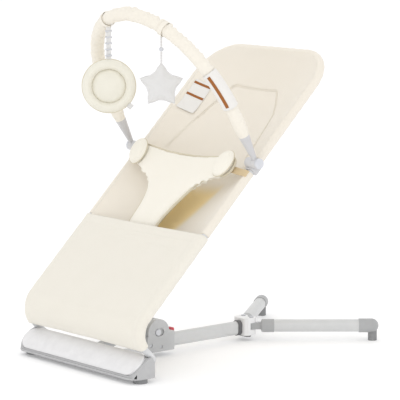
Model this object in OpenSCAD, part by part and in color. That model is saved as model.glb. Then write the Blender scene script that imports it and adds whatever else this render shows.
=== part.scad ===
// Folding baby bouncer seat with a floor stand, a sprung tube frame, a fabric sling and a toy bar.
// +Z is up, +Y runs from the foot end to the head end, and X runs across the seat.
// Heights and lengths are first set out from the middle of the front feet, on the floor;
// placed() then moves the origin to the middle of the footprint.

/* [Seat frame] */
// Width over the fabric on the two side tubes
seat_w = 364; // [330:1:400]
// Outside diameter of the frame tube
tube_d = 13; // [11:0.5:14]
// Wall of the frame tube
tube_wall = 1.2; // [0.8:0.1:2]
// Slope of the side tubes above the floor
incline = 44.3; // [40:0.1:50]
// Length of the slope from the foot bend to the middle of the top bow
slope_len = 660; // [560:5:740]
// Corner radius of the top bow
top_corner_r = 77; // [50:1:95]
// Radius of the springy bend at the foot end
foot_bend_r = 42; // [36:1:48]

/* [Fabric] */
// Depth of the sling below the frame at its middle
sling_sag = 45; // [25:1:60]
// Thickness of the sling fabric
fabric_t = 2.4; // [1.6:0.2:4]
// Distance up the slope to the top hem of the front apron
apron_len = 196; // [160:1:230]
// Width of the crotch strap of the harness
crotch_w = 84; // [60:1:110]
// Diameter of the padded harness buttons
button_d = 52; // [34:1:56]

/* [Floor stand] */
// Length of the front base bar
base_len = 370; // [352:1:430]
// Distance between the front feet
feet_w = 338; // [310:1:340]
// Height of the strut tube
strut_h = 28; // [24:1:30]
// Width of the strut tube
strut_w = 17; // [14:0.5:20]
// Distance from the front feet to the rear hub
hub_y = 402; // [370:1:460]
// Diameter of the rear arms
arm_d = 27; // [22:1:30]
// Length of one rear arm from its pivot to the middle of its end cap
arm_len = 243; // [190:1:270]
// Angle of the rear arms away from straight back
arm_angle = 39.7; // [32:0.1:44]
// Diameter of the arm pivot pins
arm_pin_d = 6; // [5:0.5:8]

/* [Hinge] */
// Radius of the toothed hinge disc
disc_r = 24; // [20:0.5:24.5]
// Diameter of the hinge bolt
hinge_bolt_d = 7.9; // [6:0.1:10]
// Width over the hinge housing
housing_w = 37; // [34:1:44]
// Travel of the red lock slide
lock_travel = 4; // [3:0.5:4.5]

/* [Toy bar] */
// Half width of the toy bar at its pivots
bar_half_w = 188.5; // [184:0.5:210]
// Diameter of the padded sleeve on the toy bar
sleeve_d = 26; // [22:1:30]
// Lean of the toy bar towards the foot end
bar_lean = 29.8; // [15:0.1:40]
// Diameter of the round hanging toy
disc_toy_d = 104; // [70:1:110]
// Width across the points of the star toy
star_w = 84; // [60:1:100]

/* [Hidden] */

$fn = 48;
// Gap between parts that only pass each other
gap = 0.3;
// Radial running clearance of a pin in its bore
run = 0.05;
// Overshoot of a cutting shape past the face it cuts
over = 1;

// Frame tube and its fabric sleeve
tube_r = tube_d / 2;
hem_in = tube_r + gap;
hem_out = hem_in + 1.4;
tube_x = seat_w / 2 - hem_out;

// Springy bend at the foot end: an arc from the slope round to 45 degrees under the seat
bend_y = foot_bend_r - 5;
bend_z = 90;
bend_start = 90 + incline;
bend_end = 225;
hem_end = 215;
toe_y = bend_y + foot_bend_r * cos(bend_start);
toe_z = bend_z + foot_bend_r * sin(bend_start);
split_y = bend_y + foot_bend_r * cos(bend_end);
split_z = bend_z + foot_bend_r * sin(bend_end);
split_gap = 1.5;

// Lower run: straight down at 45 degrees, a bend inwards, then straight across behind the base bar
lower_straight = 17;
lower_bend_r = 20;
cross_run = lower_straight + lower_bend_r;
cross_y = split_y + cross_run * cos(45);
cross_z = split_z - cross_run * sin(45);
cross_half = tube_x - lower_bend_r;

// Base bar profile
base_top_z = 51;
base_rear_y = 23;
base_front_y = -30;
base_bottom_z = 9;
cover_t = 3;
cover_slope = 40.4;
cover_mid_y = -8;
cover_mid_z = 34;
cover_half_w = 26;
cover_arc_r = 71.4;
cover_arc_sag = 5;
cover_arc_y = cover_mid_y + (cover_arc_r - cover_arc_sag) * sin(cover_slope);
cover_arc_z = cover_mid_z - (cover_arc_r - cover_arc_sag) * cos(cover_slope);
cover_half_len = base_len / 2 - 4;
base_wall = 3;
base_screw_x = [-120, -40, 40, 120];
base_screw_y = -1;
saddle_gap = 2.5;
foot_pad_d = 27;
foot_pad_y = -1;
plate_t = 2.5;

// Hinge
hinge_y = 165;
hinge_z = 49;
lock_half = 4.4;
lock_wall = 3;
lock_head = 6.5;
housing_r = disc_r + 2;
housing_front = hinge_y - 28;
housing_rear = hinge_y + disc_r + lock_head + lock_travel + lock_wall + 1.5;
housing_bottom = 10.5;
housing_top = 43;
disc_t = 9.6;
disc_gap = 0.4;
slot_half = disc_t / 2 + disc_gap;
hinge_bolt_r = hinge_bolt_d / 2;
rivet_y = hinge_y - 41;
rivet_z = hinge_z + 8;
rivet_r = 3.5;
cheek_out = 10;
lug_r = 9;
arm_rise = atan2(rivet_z - hinge_z, hinge_y - rivet_y);
arm_reach = sqrt(pow(hinge_y - rivet_y, 2) + pow(rivet_z - hinge_z, 2));

// Lock slide
lock_z = housing_top + 2.8;
lock_stem_r = 1.6;
lock_nose = hinge_y + disc_r + 0.6;
knob_y = housing_rear + 2.5;
knob_len = 8;

// Housing screws, places along and up
housing_screw_at = [[hinge_y + 6, 20], [hinge_y - 19, 25]];
housing_screw_r = 1.6;

// Spine bar from the base bar to the housing
spine_w = 26;
spine_bottom = 11.8;
spine_h = 8;
spine_rear = hinge_y - 10;

// Strut
strut_z = 27;
strut_start = hinge_y + disc_r + 1.5;
strut_wall = 1.6;
strut_end = hub_y - 16;

// Rear hub and arms
arm_z = 30;
pivot_x = 12;
pivot_y = hub_y + 8;
hub_r = 9;
hub_bottom = 12;
hub_top = 47;
knuckle_h = 13;
knuckle_r = 8.5;
arm_pin_r = arm_pin_d / 2;
arm_r = arm_d / 2;
collar_start = 21;
collar_len = 25;
cap_start = arm_len - 14;
cap_r = arm_r + 0.6;
arm_foot_r = 9;

// Toy bar clamps and arch
clamp_s = 373;
clamp_half = 13;
pivot_rise = 12;
bar_pin_r = 4;
bar_tube_r = 5;
eye_r = 10;
eye_in = bar_half_w - 5.2;
eye_out = bar_half_w + 5.2;
arch_side_r = 236;
arch_top_r = 176;
leg_h = 110;
arch_shift = arch_side_r - bar_half_w;
arch_rise = sqrt(pow(arch_side_r - arch_top_r, 2) - pow(arch_shift, 2));
arch_angle = atan2(arch_rise, arch_shift);
arch_top_z = leg_h + arch_rise;
connector_len = 64;
stem_r = 4.8;
stem_top = 12;
ferrule_half = 1.5;
ferrule_t = 0.15;
sleeve_r = sleeve_d / 2;
pivot_pos = slope_point(clamp_s, pivot_rise);

// Hanging toys
disc_x = -68;
star_x = 87;
disc_drop = 130;
star_drop = 110;
face_turn = 50;
disc_t_toy = 18;
star_t = 16;
loop_r = sleeve_r + 0.5;
loop_t = 1.6;
loop_w = 10;
strap_w = 9;
strap_t = 2.4;
bead_drop = 42;
bead_r = 4.6;

// Middle of the footprint, which becomes the origin
rear_y = pivot_y + arm_len * cos(arm_angle) + cap_r;
mid_y = (base_front_y + rear_y) / 2;

// A point in the side view at distance s up the slope and height n above the tube centres
function slope_point(s, n) = [
    toe_y + s * cos(incline) - n * sin(incline),
    toe_z + s * sin(incline) + n * cos(incline)
];
// Centre of the toy bar at a place across its top arc, in the plane of the arch
function arch_z(x) = arch_top_z + sqrt(pow(arch_top_r, 2) - pow(x, 2));
function arch_tilt(x) = -asin(x / arch_top_r);

module placed() {
    translate([0, -mid_y, 0]) children();
}

// Local axes on the slope: X across, Y up the slope, Z square to the frame plane
module on_slope() {
    placed() translate([0, toe_y, toe_z]) rotate([incline, 0, 0]) children();
}

// Local axes of the arch: X across, Z up the legs, origin on the pivot line
module on_arch() {
    placed() translate([0, pivot_pos[0], pivot_pos[1]]) rotate([bar_lean, 0, 0]) children();
}

// Extrude a side-view outline across X between two planes
module across(x0, x1) {
    translate([x0, 0, 0]) rotate([90, 0, 90]) linear_extrude(height = x1 - x0) children();
}

module rod_x(r, x0, x1, y, z) {
    translate([x0, y, z]) rotate([0, 90, 0]) cylinder(r = r, h = x1 - x0);
}

module ring(r_out, r_in) {
    difference() {
        circle(r = r_out);
        circle(r = r_in);
    }
}

// Part of a torus of tube section, in the side view, about a centre at (y, z)
module side_arc(x, y, z, radius, from, to, r_out, r_in) {
    translate([x, y, z]) rotate([90, 0, 90]) rotate([0, 0, from])
        rotate_extrude(angle = to - from) translate([radius, 0]) ring(r_out, r_in);
}

module stadium(half_len, half_w) {
    union() {
        square([2 * (half_len - half_w), 2 * half_w], center = true);
        translate([half_len - half_w, 0]) circle(r = half_w);
        translate([half_w - half_len, 0]) circle(r = half_w);
    }
}

module rounded_box(half_x, y0, y1, r) {
    union() {
        translate([r - half_x, y0]) square([2 * (half_x - r), y1 - y0]);
        translate([-half_x, y0 + r]) square([2 * half_x, y1 - y0 - r - 3]);
        translate([3 - half_x, y0 + r]) square([2 * (half_x - 3), y1 - y0 - r]);
        translate([r - half_x, y0 + r]) circle(r = r);
        translate([half_x - r, y0 + r]) circle(r = r);
        translate([3 - half_x, y1 - 3]) circle(r = 3);
        translate([half_x - 3, y1 - 3]) circle(r = 3);
    }
}

// ---- Front base bar ----

module base_outline(inset) {
    intersection() {
        polygon([
            [base_front_y + 4 + inset, base_bottom_z - (inset > 0 ? over : 0)],
            [base_rear_y - inset, base_bottom_z - (inset > 0 ? over : 0)],
            [base_rear_y - inset, base_top_z - 15 - inset],
            [base_rear_y - 9, base_top_z - 2 - inset],
            [base_front_y + 4 + inset, base_top_z - 2 - inset]
        ]);
        translate([cover_arc_y, cover_arc_z]) circle(r = cover_arc_r - cover_t - 0.2 - inset);
    }
}

module base_shell() {
    color([0.80, 0.80, 0.80]) placed() difference() {
        union() {
            intersection() {
                across(-base_len / 2, base_len / 2) base_outline(0);
                linear_extrude(height = base_top_z + over)
                    rounded_box(base_len / 2, base_front_y, base_rear_y, 22);
            }
            translate([0, 0, base_bottom_z]) linear_extrude(height = 4)
                rounded_box(base_len / 2, base_front_y, base_rear_y, 22);
            translate([0, 0, base_bottom_z + 4]) linear_extrude(height = 3.5)
                rounded_box(base_len / 2 - 1.5, base_front_y + 1.5, base_rear_y, 21);
        }
        difference() {
            across(base_wall - base_len / 2, base_len / 2 - base_wall) base_outline(base_wall);
            for (x = base_screw_x)
                translate([x, base_screw_y, plate_t + base_bottom_z + 0.2]) cylinder(r = 5, h = 60);
        }
        for (x = base_screw_x) translate([x, base_screw_y, 0]) cylinder(r = 1.5, h = 26);
        translate([-spine_w / 2 - gap, -6, 0]) cube([spine_w + 2 * gap, 40, spine_bottom + spine_h + gap]);
        tube_saddles();
    }
}

// Clear grooves in which the two frame tubes pass down behind the base bar
module tube_saddles() {
    for (side = [-1, 1]) {
        translate([side * tube_x, split_y, split_z]) rotate([45, 0, 0])
            translate([0, 0, -60]) cylinder(r = tube_r + saddle_gap, h = 80);
    }
}

module base_cover() {
    color([0.93, 0.92, 0.92]) placed() difference() {
        intersection() {
            across(-base_len / 2, base_len / 2) intersection() {
                translate([cover_arc_y, cover_arc_z]) ring(cover_arc_r, cover_arc_r - cover_t);
                translate([base_front_y, base_bottom_z + 7.8]) square([44, 60]);
            }
            translate([0, cover_mid_y, cover_mid_z]) rotate([cover_slope, 0, 0])
                translate([0, 0, -10]) linear_extrude(height = 30) stadium(cover_half_len, cover_half_w);
        }
        tube_saddles();
    }
}

module base_plate() {
    color([0.55, 0.55, 0.55]) placed() difference() {
        translate([0, 0, base_bottom_z]) linear_extrude(height = plate_t)
            translate([gap + base_wall - base_len / 2, base_front_y + 4 + base_wall + gap])
            square([base_len - 2 * (base_wall + gap), base_rear_y - base_front_y - 4 - 2 * (base_wall + gap)]);
        for (x = base_screw_x) translate([x, base_screw_y, 0]) cylinder(r = 1.8, h = 20);
    }
}

module base_feet() {
    color([0.30, 0.30, 0.31]) placed()
        for (side = [-1, 1])
            translate([side * feet_w / 2, foot_pad_y, 0]) cylinder(d = foot_pad_d, h = base_bottom_z);
}

module base_screws() {
    color([0.45, 0.45, 0.47]) placed() for (x = base_screw_x) translate([x, base_screw_y, 0]) union() {
        translate([0, 0, base_bottom_z - 2]) cylinder(r = 3.2, h = 2);
        translate([0, 0, base_bottom_z - 0.5]) cylinder(r = 1.5, h = 17);
    }
}

// ---- Spine, hinge housing and strut ----

module spine_bar() {
    color([0.75, 0.76, 0.77]) placed() translate([-spine_w / 2, -5, spine_bottom])
        cube([spine_w, spine_rear + 5, spine_h]);
}

module housing_outline() {
    union() {
        translate([housing_front, housing_bottom])
            square([housing_rear - housing_front, housing_top - housing_bottom]);
        translate([hinge_y, hinge_z]) circle(r = housing_r);
        translate([hinge_y + 20, housing_top - over]) square([housing_rear - hinge_y - 20, 6]);
    }
}

// Space for the disc, and for its arm as it swings up through the front of the housing
module disc_space() {
    union() {
        translate([hinge_y, hinge_z]) circle(r = disc_r + 0.6);
        translate([hinge_y, hinge_z]) polygon([[0, 0], [-42, -6], [-42, 30], [-24, 42], [0, 34]]);
    }
}

module housing_half(side) {
    x0 = side > 0 ? 0 : -housing_w / 2;
    x1 = side > 0 ? housing_w / 2 : 0;
    spine_x = spine_w / 2 + 0.15;
    difference() {
        across(x0, x1) housing_outline();
        across(-slot_half, slot_half) disc_space();
        translate([-spine_x, 0, spine_bottom - 0.15]) cube([2 * spine_x, spine_rear + 0.2, spine_h + 0.3]);
        translate([-strut_w / 2 - 0.1, strut_start - 0.2, strut_z - strut_h / 2 - 0.1])
            cube([strut_w + 0.2, 40, strut_h + 0.2]);
        translate([-lock_half - 0.4, hinge_y + 18, housing_top + 0.1])
            cube([2 * lock_half + 0.8, housing_rear - hinge_y - 18 - lock_wall, 20]);
        translate([0, hinge_y, lock_z]) rotate([-90, 0, 0]) cylinder(r = lock_stem_r + 0.3, h = 60);
        rod_x(hinge_bolt_r + run, -30, 30, hinge_y, hinge_z);
        translate([side * housing_w / 2, hinge_y + 2, hinge_z]) rotate([0, 90, 0])
            translate([0, 0, -3]) linear_extrude(height = 6) rotate([0, 0, 90]) stadium(11, 7.5);
        for (at = housing_screw_at) {
            rod_x(housing_screw_r, -30, 30, at[0], at[1]);
            rod_x(3.6, side > 0 ? housing_w / 2 - 3 : -30, side > 0 ? 30 : 3 - housing_w / 2, at[0], at[1]);
        }
    }
}

module housing_left() {
    color([0.75, 0.76, 0.76]) placed() housing_half(-1);
}

module housing_right() {
    color([0.75, 0.76, 0.76]) placed() housing_half(1);
}

module hinge_bolt() {
    color([0.68, 0.69, 0.70]) placed() union() {
        rod_x(hinge_bolt_r, 2.8 - housing_w / 2 - 2.2, housing_w / 2 - 3, hinge_y, hinge_z);
        rod_x(6.4, housing_w / 2 - 3, housing_w / 2 - 0.8, hinge_y, hinge_z);
    }
}

module hinge_nut() {
    color([0.62, 0.63, 0.64]) placed() difference() {
        rod_x(6.4, 0.6 - housing_w / 2, 3 - housing_w / 2, hinge_y, hinge_z);
        rod_x(hinge_bolt_r, -30, 0, hinge_y, hinge_z);
    }
}

module housing_screws() {
    color([0.45, 0.45, 0.47]) placed() for (at = housing_screw_at) union() {
        rod_x(housing_screw_r, 3.2 - housing_w / 2, housing_w / 2 - 3, at[0], at[1]);
        rod_x(3.2, housing_w / 2 - 3, housing_w / 2 - 1, at[0], at[1]);
    }
}

module oval(h, w) {
    union() {
        square([w, h - w], center = true);
        translate([0, (h - w) / 2]) circle(d = w);
        translate([0, (w - h) / 2]) circle(d = w);
    }
}

module strut_tube() {
    color([0.86, 0.86, 0.86]) placed() translate([0, strut_end, strut_z]) rotate([90, 0, 0])
        linear_extrude(height = strut_end - strut_start) difference() {
            oval(strut_h, strut_w);
            oval(strut_h - 2 * strut_wall, strut_w - 2 * strut_wall);
        }
}

module strut_ring() {
    color([0.36, 0.36, 0.37]) placed() translate([0, strut_end + 2, strut_z]) rotate([90, 0, 0])
        difference() {
            linear_extrude(height = 9) oval(strut_h + 3.2, strut_w + 3.2);
            translate([0, 0, 2]) linear_extrude(height = 9) oval(strut_h, strut_w);
        }
}

// ---- Rear hub and arms ----

module hub_plan(grow) {
    union() {
        translate([-pivot_x, pivot_y - 22]) square([2 * pivot_x, 22]);
        translate([-pivot_x - hub_r, pivot_y - 16]) square([2 * (pivot_x + hub_r), 16]);
        for (side = [-1, 1]) translate([side * pivot_x, pivot_y]) circle(r = hub_r + grow);
        for (side = [-1, 1]) translate([side * pivot_x, pivot_y - 14]) circle(r = hub_r - 1);
    }
}

module rear_hub() {
    slot_z = arm_z - knuckle_h / 2 - gap;
    color([0.90, 0.90, 0.91]) placed() difference() {
        translate([0, 0, hub_bottom]) linear_extrude(height = hub_top - hub_bottom) hub_plan(0);
        translate([-60, pivot_y - knuckle_r - 1, slot_z]) cube([120, 60, knuckle_h + 2 * gap]);
        for (side = [-1, 1]) translate([side * pivot_x, pivot_y, 0]) cylinder(r = arm_pin_r, h = 80);
    }
}

module hub_pad() {
    color([0.33, 0.33, 0.34]) placed() translate([0, pivot_y - 6, hub_bottom - 4])
        linear_extrude(height = 4) stadium(15, 7);
}

module arm_pins() {
    color([0.62, 0.63, 0.64]) placed() for (side = [-1, 1]) translate([side * pivot_x, pivot_y, 0]) union() {
        translate([0, 0, hub_bottom]) cylinder(r = arm_pin_r, h = hub_top - hub_bottom);
        translate([0, 0, hub_top]) cylinder(r = arm_pin_r + 1.6, h = 1.6);
    }
}

// Local axes of one arm: Y along the arm from its pivot, at arm height
module on_arm(side) {
    placed() translate([side * pivot_x, pivot_y, arm_z]) rotate([0, 0, -side * arm_angle]) children();
}

module along_arm(y0, y1) {
    translate([0, y0, 0]) rotate([-90, 0, 0]) linear_extrude(height = y1 - y0) children();
}

module arm_knuckle(side) {
    color([0.62, 0.62, 0.63]) on_arm(side) difference() {
        union() {
            translate([0, 0, -knuckle_h / 2]) cylinder(r = knuckle_r, h = knuckle_h);
            translate([-knuckle_r + 1, 0, -knuckle_h / 2]) cube([2 * knuckle_r - 2, collar_start, knuckle_h]);
            along_arm(collar_start - over, collar_start + collar_len - 6) circle(r = arm_r - 3.2);
        }
        translate([0, 0, -20]) cylinder(r = arm_pin_r + run, h = 40);
    }
}

module arm_tube(side) {
    color([0.82, 0.82, 0.83]) on_arm(side)
        along_arm(collar_start + collar_len - 4, arm_len - 2) ring(arm_r - 0.8, arm_r - 2.6);
}

module arm_collar(side) {
    color([0.63, 0.63, 0.63]) on_arm(side) difference() {
        along_arm(collar_start, collar_start + collar_len) circle(r = arm_r);
        along_arm(collar_start - over, collar_start + collar_len - 6) circle(r = arm_r - 3.2);
        along_arm(collar_start + collar_len - 6.2, collar_start + collar_len + over) circle(r = arm_r - 0.8);
    }
}

module arm_cap(side) {
    color([0.63, 0.63, 0.63]) on_arm(side) difference() {
        union() {
            along_arm(cap_start - 12, arm_len) circle(r = cap_r);
            translate([0, arm_len, 0]) sphere(r = cap_r);
        }
        along_arm(cap_start - 12 - over, arm_len - 2) circle(r = arm_r - 0.8);
    }
}

module arm_foot(side) {
    color([0.30, 0.30, 0.31]) on_arm(side) difference() {
        translate([0, arm_len + 2, -arm_z]) cylinder(r = arm_foot_r, h = arm_z - 8);
        along_arm(cap_start - 14, arm_len) circle(r = cap_r);
        translate([0, arm_len, 0]) sphere(r = cap_r);
    }
}

module arm_knuckle_left() { arm_knuckle(-1); }
module arm_tube_left() { arm_tube(-1); }
module arm_collar_left() { arm_collar(-1); }
module arm_cap_left() { arm_cap(-1); }
module arm_foot_left() { arm_foot(-1); }
module arm_knuckle_right() { arm_knuckle(1); }
module arm_tube_right() { arm_tube(1); }
module arm_collar_right() { arm_collar(1); }
module arm_cap_right() { arm_cap(1); }
module arm_foot_right() { arm_foot(1); }

// ---- Lock ----

module lock_slide() {
    color([0.62, 0.10, 0.16]) placed() union() {
        translate([-lock_half, lock_nose + 2.4, housing_top + 0.4]) cube([2 * lock_half, lock_head - 2.4, 4.6]);
        across(-3, 3) translate([lock_nose, lock_z - 1.4]) polygon([[0, 1.4], [2.5, 0], [2.5, 2.8]]);
        translate([0, lock_nose + 4, lock_z]) rotate([-90, 0, 0])
            cylinder(r = lock_stem_r, h = knob_y - lock_nose - 2);
        translate([-5, knob_y, strut_z + strut_h / 2 + 1]) cube([10, knob_len, 6]);
        rod_x(knob_len / 2, -5, 5, knob_y + knob_len / 2, strut_z + strut_h / 2 + 6.5);
    }
}

module lock_spring() {
    spring_start = lock_nose + lock_head + 0.1;
    color([0.62, 0.63, 0.64]) placed() translate([0, spring_start, lock_z]) rotate([-90, 0, 0]) difference() {
        cylinder(r = 2.4, h = housing_rear - lock_wall - spring_start);
        translate([0, 0, -over]) cylinder(r = 1.9, h = 20);
    }
}

// ---- Lower frame ----

module hinge_disc() {
    color([0.58, 0.59, 0.60]) placed() across(-disc_t / 2, disc_t / 2) difference() {
        union() {
            translate([hinge_y, hinge_z]) circle(r = disc_r);
            translate([hinge_y, hinge_z]) rotate(180 - arm_rise) translate([0, 2 - lug_r])
                square([arm_reach, 2 * lug_r - 4]);
            translate([rivet_y, rivet_z]) circle(r = lug_r - 1);
        }
        translate([hinge_y, hinge_z]) circle(r = hinge_bolt_r + run);
        translate([rivet_y, rivet_z]) circle(r = rivet_r);
        for (a = [0, 12, 24]) translate([hinge_y, hinge_z]) rotate(a) translate([disc_r, 0]) circle(r = 1.6);
    }
}

module bracket_rivet() {
    color([0.80, 0.80, 0.81]) placed() union() {
        rod_x(rivet_r, -cheek_out, cheek_out, rivet_y, rivet_z);
        for (side = [-1, 1]) mirror([side > 0 ? 0 : 1, 0, 0])
            rod_x(5.2, cheek_out, cheek_out + 2, rivet_y, rivet_z);
    }
}

module frame_bracket() {
    bar_len = sqrt(pow(rivet_y - cross_y, 2) + pow(rivet_z - cross_z, 2));
    bar_rise = atan2(rivet_z - cross_z, rivet_y - cross_y);
    color([0.70, 0.71, 0.71]) placed() difference() {
        union() {
            rod_x(lug_r, -cheek_out, cheek_out, rivet_y, rivet_z);
            rod_x(tube_r + 2, -16, 16, cross_y, cross_z);
            translate([0, cross_y, cross_z]) rotate([bar_rise, 0, 0])
                translate([-cheek_out, 0, -tube_r]) cube([2 * cheek_out, bar_len, 2 * tube_r + 1]);
        }
        rod_x(tube_r, -30, 30, cross_y, cross_z);
        rod_x(rivet_r, -30, 30, rivet_y, rivet_z);
        translate([0, hinge_y, hinge_z]) rotate([-arm_rise, 0, 0])
            translate([-slot_half, -arm_reach - lug_r - 1, -lug_r - 2]) cube([2 * slot_half, 60, 2 * lug_r + 4]);
    }
}

module cross_tube() {
    color([0.78, 0.78, 0.79]) placed()
        translate([-cross_half, cross_y, cross_z]) rotate([0, 90, 0]) linear_extrude(height = 2 * cross_half)
            ring(tube_r, tube_r - tube_wall);
}

module lower_bend(side) {
    color([0.78, 0.78, 0.79]) placed() translate([side * tube_x, split_y, split_z]) rotate([-45, 0, 0]) union() {
        translate([0, split_gap, 0]) rotate([-90, 0, 0]) linear_extrude(height = lower_straight - split_gap)
            ring(tube_r, tube_r - tube_wall);
        translate([-side * lower_bend_r, lower_straight, 0]) mirror([side > 0 ? 0 : 1, 0, 0])
            rotate_extrude(angle = 90) translate([lower_bend_r, 0]) ring(tube_r, tube_r - tube_wall);
    }
}

module lower_bend_left() { lower_bend(-1); }
module lower_bend_right() { lower_bend(1); }

// ---- Seat frame ----

module foot_bend(side) {
    color([0.78, 0.78, 0.79]) placed()
        side_arc(side * tube_x, bend_y, bend_z, foot_bend_r, bend_start, bend_end, tube_r, tube_r - tube_wall);
}

module side_tube(side) {
    color([0.78, 0.78, 0.79]) on_slope() translate([side * tube_x, 0, 0]) rotate([-90, 0, 0])
        linear_extrude(height = slope_len - top_corner_r) ring(tube_r, tube_r - tube_wall);
}

module foot_bend_left() { foot_bend(-1); }
module foot_bend_right() { foot_bend(1); }
module side_tube_left() { side_tube(-1); }
module side_tube_right() { side_tube(1); }

module bow_path(r_out, r_in) {
    corner_x = tube_x - top_corner_r;
    corner_s = slope_len - top_corner_r;
    union() {
        for (side = [-1, 1]) translate([side * corner_x, corner_s, 0]) mirror([side > 0 ? 0 : 1, 0, 0])
            rotate_extrude(angle = 90) translate([top_corner_r, 0]) ring(r_out, r_in);
        translate([-corner_x, slope_len, 0]) rotate([0, 90, 0]) linear_extrude(height = 2 * corner_x)
            ring(r_out, r_in);
    }
}

module top_bow() {
    color([0.78, 0.78, 0.79]) on_slope() bow_path(tube_r, tube_r - tube_wall);
}

// ---- Fabric ----

// Half width of the panel between the two side hems
panel_half = tube_x - hem_out + 0.5;
sag_r = (pow(panel_half, 2) + pow(sling_sag, 2)) / (2 * sling_sag);
hem_break = 3;
sling_start = apron_len + 4;
pocket_start = 95;

module hem_tubes(s0, s1) {
    for (side = [-1, 1]) translate([side * tube_x, s0, 0]) rotate([-90, 0, 0])
        linear_extrude(height = s1 - s0) ring(hem_out, hem_in);
}

// The sagging panel: a band bent across the seat, with round top corners
module sag_band(s0, s1, half) {
    translate([0, s1, 0]) rotate([90, 0, 0]) linear_extrude(height = s1 - s0) intersection() {
        translate([0, sag_r - sling_sag]) ring(sag_r + fabric_t / 2, sag_r - fabric_t / 2);
        translate([-half, -sling_sag - 10]) square([2 * half, sling_sag + 20]);
    }
}

module panel_plan() {
    corner_x = tube_x - top_corner_r;
    corner_s = slope_len - top_corner_r;
    inner = top_corner_r - hem_out + 0.5;
    translate([0, 0, -80]) linear_extrude(height = 100) union() {
        translate([-200, 0]) square([400, corner_s]);
        translate([-corner_x, 0]) square([2 * corner_x, corner_s + inner]);
        for (side = [-1, 1]) translate([side * corner_x, corner_s]) circle(r = inner);
    }
}

// The top of the sling rises from its sag to the top bow as a flat yoke
module sling_yoke() {
    yoke_s = slope_len - hem_out + 0.5;
    translate([0, yoke_s - 2.4, 0]) rotate([90, 0, 0]) translate([0, 0, -2.4]) linear_extrude(height = 2.4)
        intersection() {
            translate([0, sag_r - sling_sag]) circle(r = sag_r + fabric_t / 2);
            translate([top_corner_r - tube_x, -sling_sag - 10]) square([2 * (tube_x - top_corner_r), sling_sag + 11]);
        }
}

module sling() {
    color([0.94, 0.92, 0.87]) on_slope() difference() {
        union() {
            intersection() {
                union() {
                    sag_band(sling_start, slope_len, panel_half);
                    sag_band(pocket_start, sling_start + over, panel_half - 4);
                }
                panel_plan();
            }
            sling_yoke();
            intersection() {
                translate([0, pocket_start + fabric_t, 0]) rotate([90, 0, 0]) linear_extrude(height = fabric_t)
                    intersection() {
                        translate([0, sag_r - sling_sag]) circle(r = sag_r + fabric_t / 2);
                        translate([4 - panel_half, -sling_sag - 10]) square([2 * panel_half - 8, sling_sag + 14]);
                    }
                panel_plan();
            }
            hem_tubes(sling_start, slope_len - top_corner_r);
            bow_path(hem_out, hem_in);
        }
        for (side = [-1, 1]) translate([side * tube_x - 12, clamp_s - clamp_half - hem_break, -20])
            cube([24, 2 * (clamp_half + hem_break), 60]);
    }
}

module apron() {
    wrap = hem_end - bend_start;
    flat_half = tube_x - 5.5;
    color([0.93, 0.92, 0.88]) on_slope() union() {
        translate([-flat_half, 0, hem_out - fabric_t]) cube([2 * flat_half, apron_len, fabric_t]);
        hem_tubes(0, apron_len);
        translate([0, 0, -foot_bend_r]) rotate([90, 0, 90]) rotate([0, 0, 90]) rotate_extrude(angle = wrap)
            translate([foot_bend_r + hem_out - fabric_t, -flat_half]) square([fabric_t, 2 * flat_half]);
        for (side = [-1, 1])
            side_arc(side * tube_x, 0, -foot_bend_r, foot_bend_r, 90, 90 + wrap, hem_out, hem_in);
    }
}

// Harness: a bib that rises from behind the apron to two padded buttons
bib_start = apron_len - 12;
bib_low = -9;
button_s = 350;
button_x = 130;
button_n = 25;
bib_t = 6;
bib_lean = 24;
bib_tilt = atan2(button_n - bib_low - bib_t, button_s - bib_start);

module on_bib() {
    on_slope() translate([0, bib_start, bib_low]) rotate([bib_tilt, 0, 0]) children();
}

module harness_bib() {
    reach = (button_s - bib_start) / cos(bib_tilt);
    neck = crotch_w / 2;
    color([0.96, 0.94, 0.91]) on_bib() linear_extrude(height = bib_t) union() {
        polygon([
            [-neck - bib_lean, 0], [neck - bib_lean, 0], [neck - bib_lean / 2, reach - 105],
            [neck + 12, reach - 60], [neck + 38, reach - 28],
            [button_x, reach - 19], [button_x, reach + 19], [neck + 28, reach + 16], [neck, reach + 10],
            [-neck, reach + 10], [-neck - 28, reach + 16], [-button_x, reach + 19], [-button_x, reach - 19],
            [-neck - 38, reach - 28], [-neck - 12, reach - 60], [-neck - bib_lean / 2, reach - 105]
        ]);
        for (side = [-1, 1]) translate([side * button_x, reach]) circle(r = 19);
    }
}

module harness_buttons() {
    reach = (button_s - bib_start) / cos(bib_tilt);
    color([0.93, 0.92, 0.88]) on_bib() for (side = [-1, 1])
        translate([side * button_x, reach, bib_t]) cylinder(d = button_d, h = 9);
}

module harness_tabs() {
    color([0.84, 0.75, 0.60]) on_slope() for (side = [-1, 1]) mirror([side > 0 ? 0 : 1, 0, 0])
        translate([0, button_s - 2, 0]) rotate([90, 0, 0]) linear_extrude(height = 20)
            polygon([
                [tube_x - 13.5, 0.6], [tube_x - 13.5, 3], [button_x + 4, 14.9],
                [button_x - 8, 14.9], [button_x - 8, 12.5], [button_x + 3, 12.5]
            ]);
}

module care_label() {
    label_x = 40 - tube_x;
    label_s = 490;
    color([0.95, 0.95, 0.94]) on_slope() translate([0, label_s + 75, 0]) rotate([90, 0, 0])
        linear_extrude(height = 75) intersection() {
            translate([0, sag_r - sling_sag]) ring(sag_r - fabric_t / 2, sag_r - fabric_t / 2 - 0.8);
            translate([label_x - 26, -sling_sag - 10]) square([40, sling_sag + 20]);
        }
}

// ---- Toy bar ----

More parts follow.
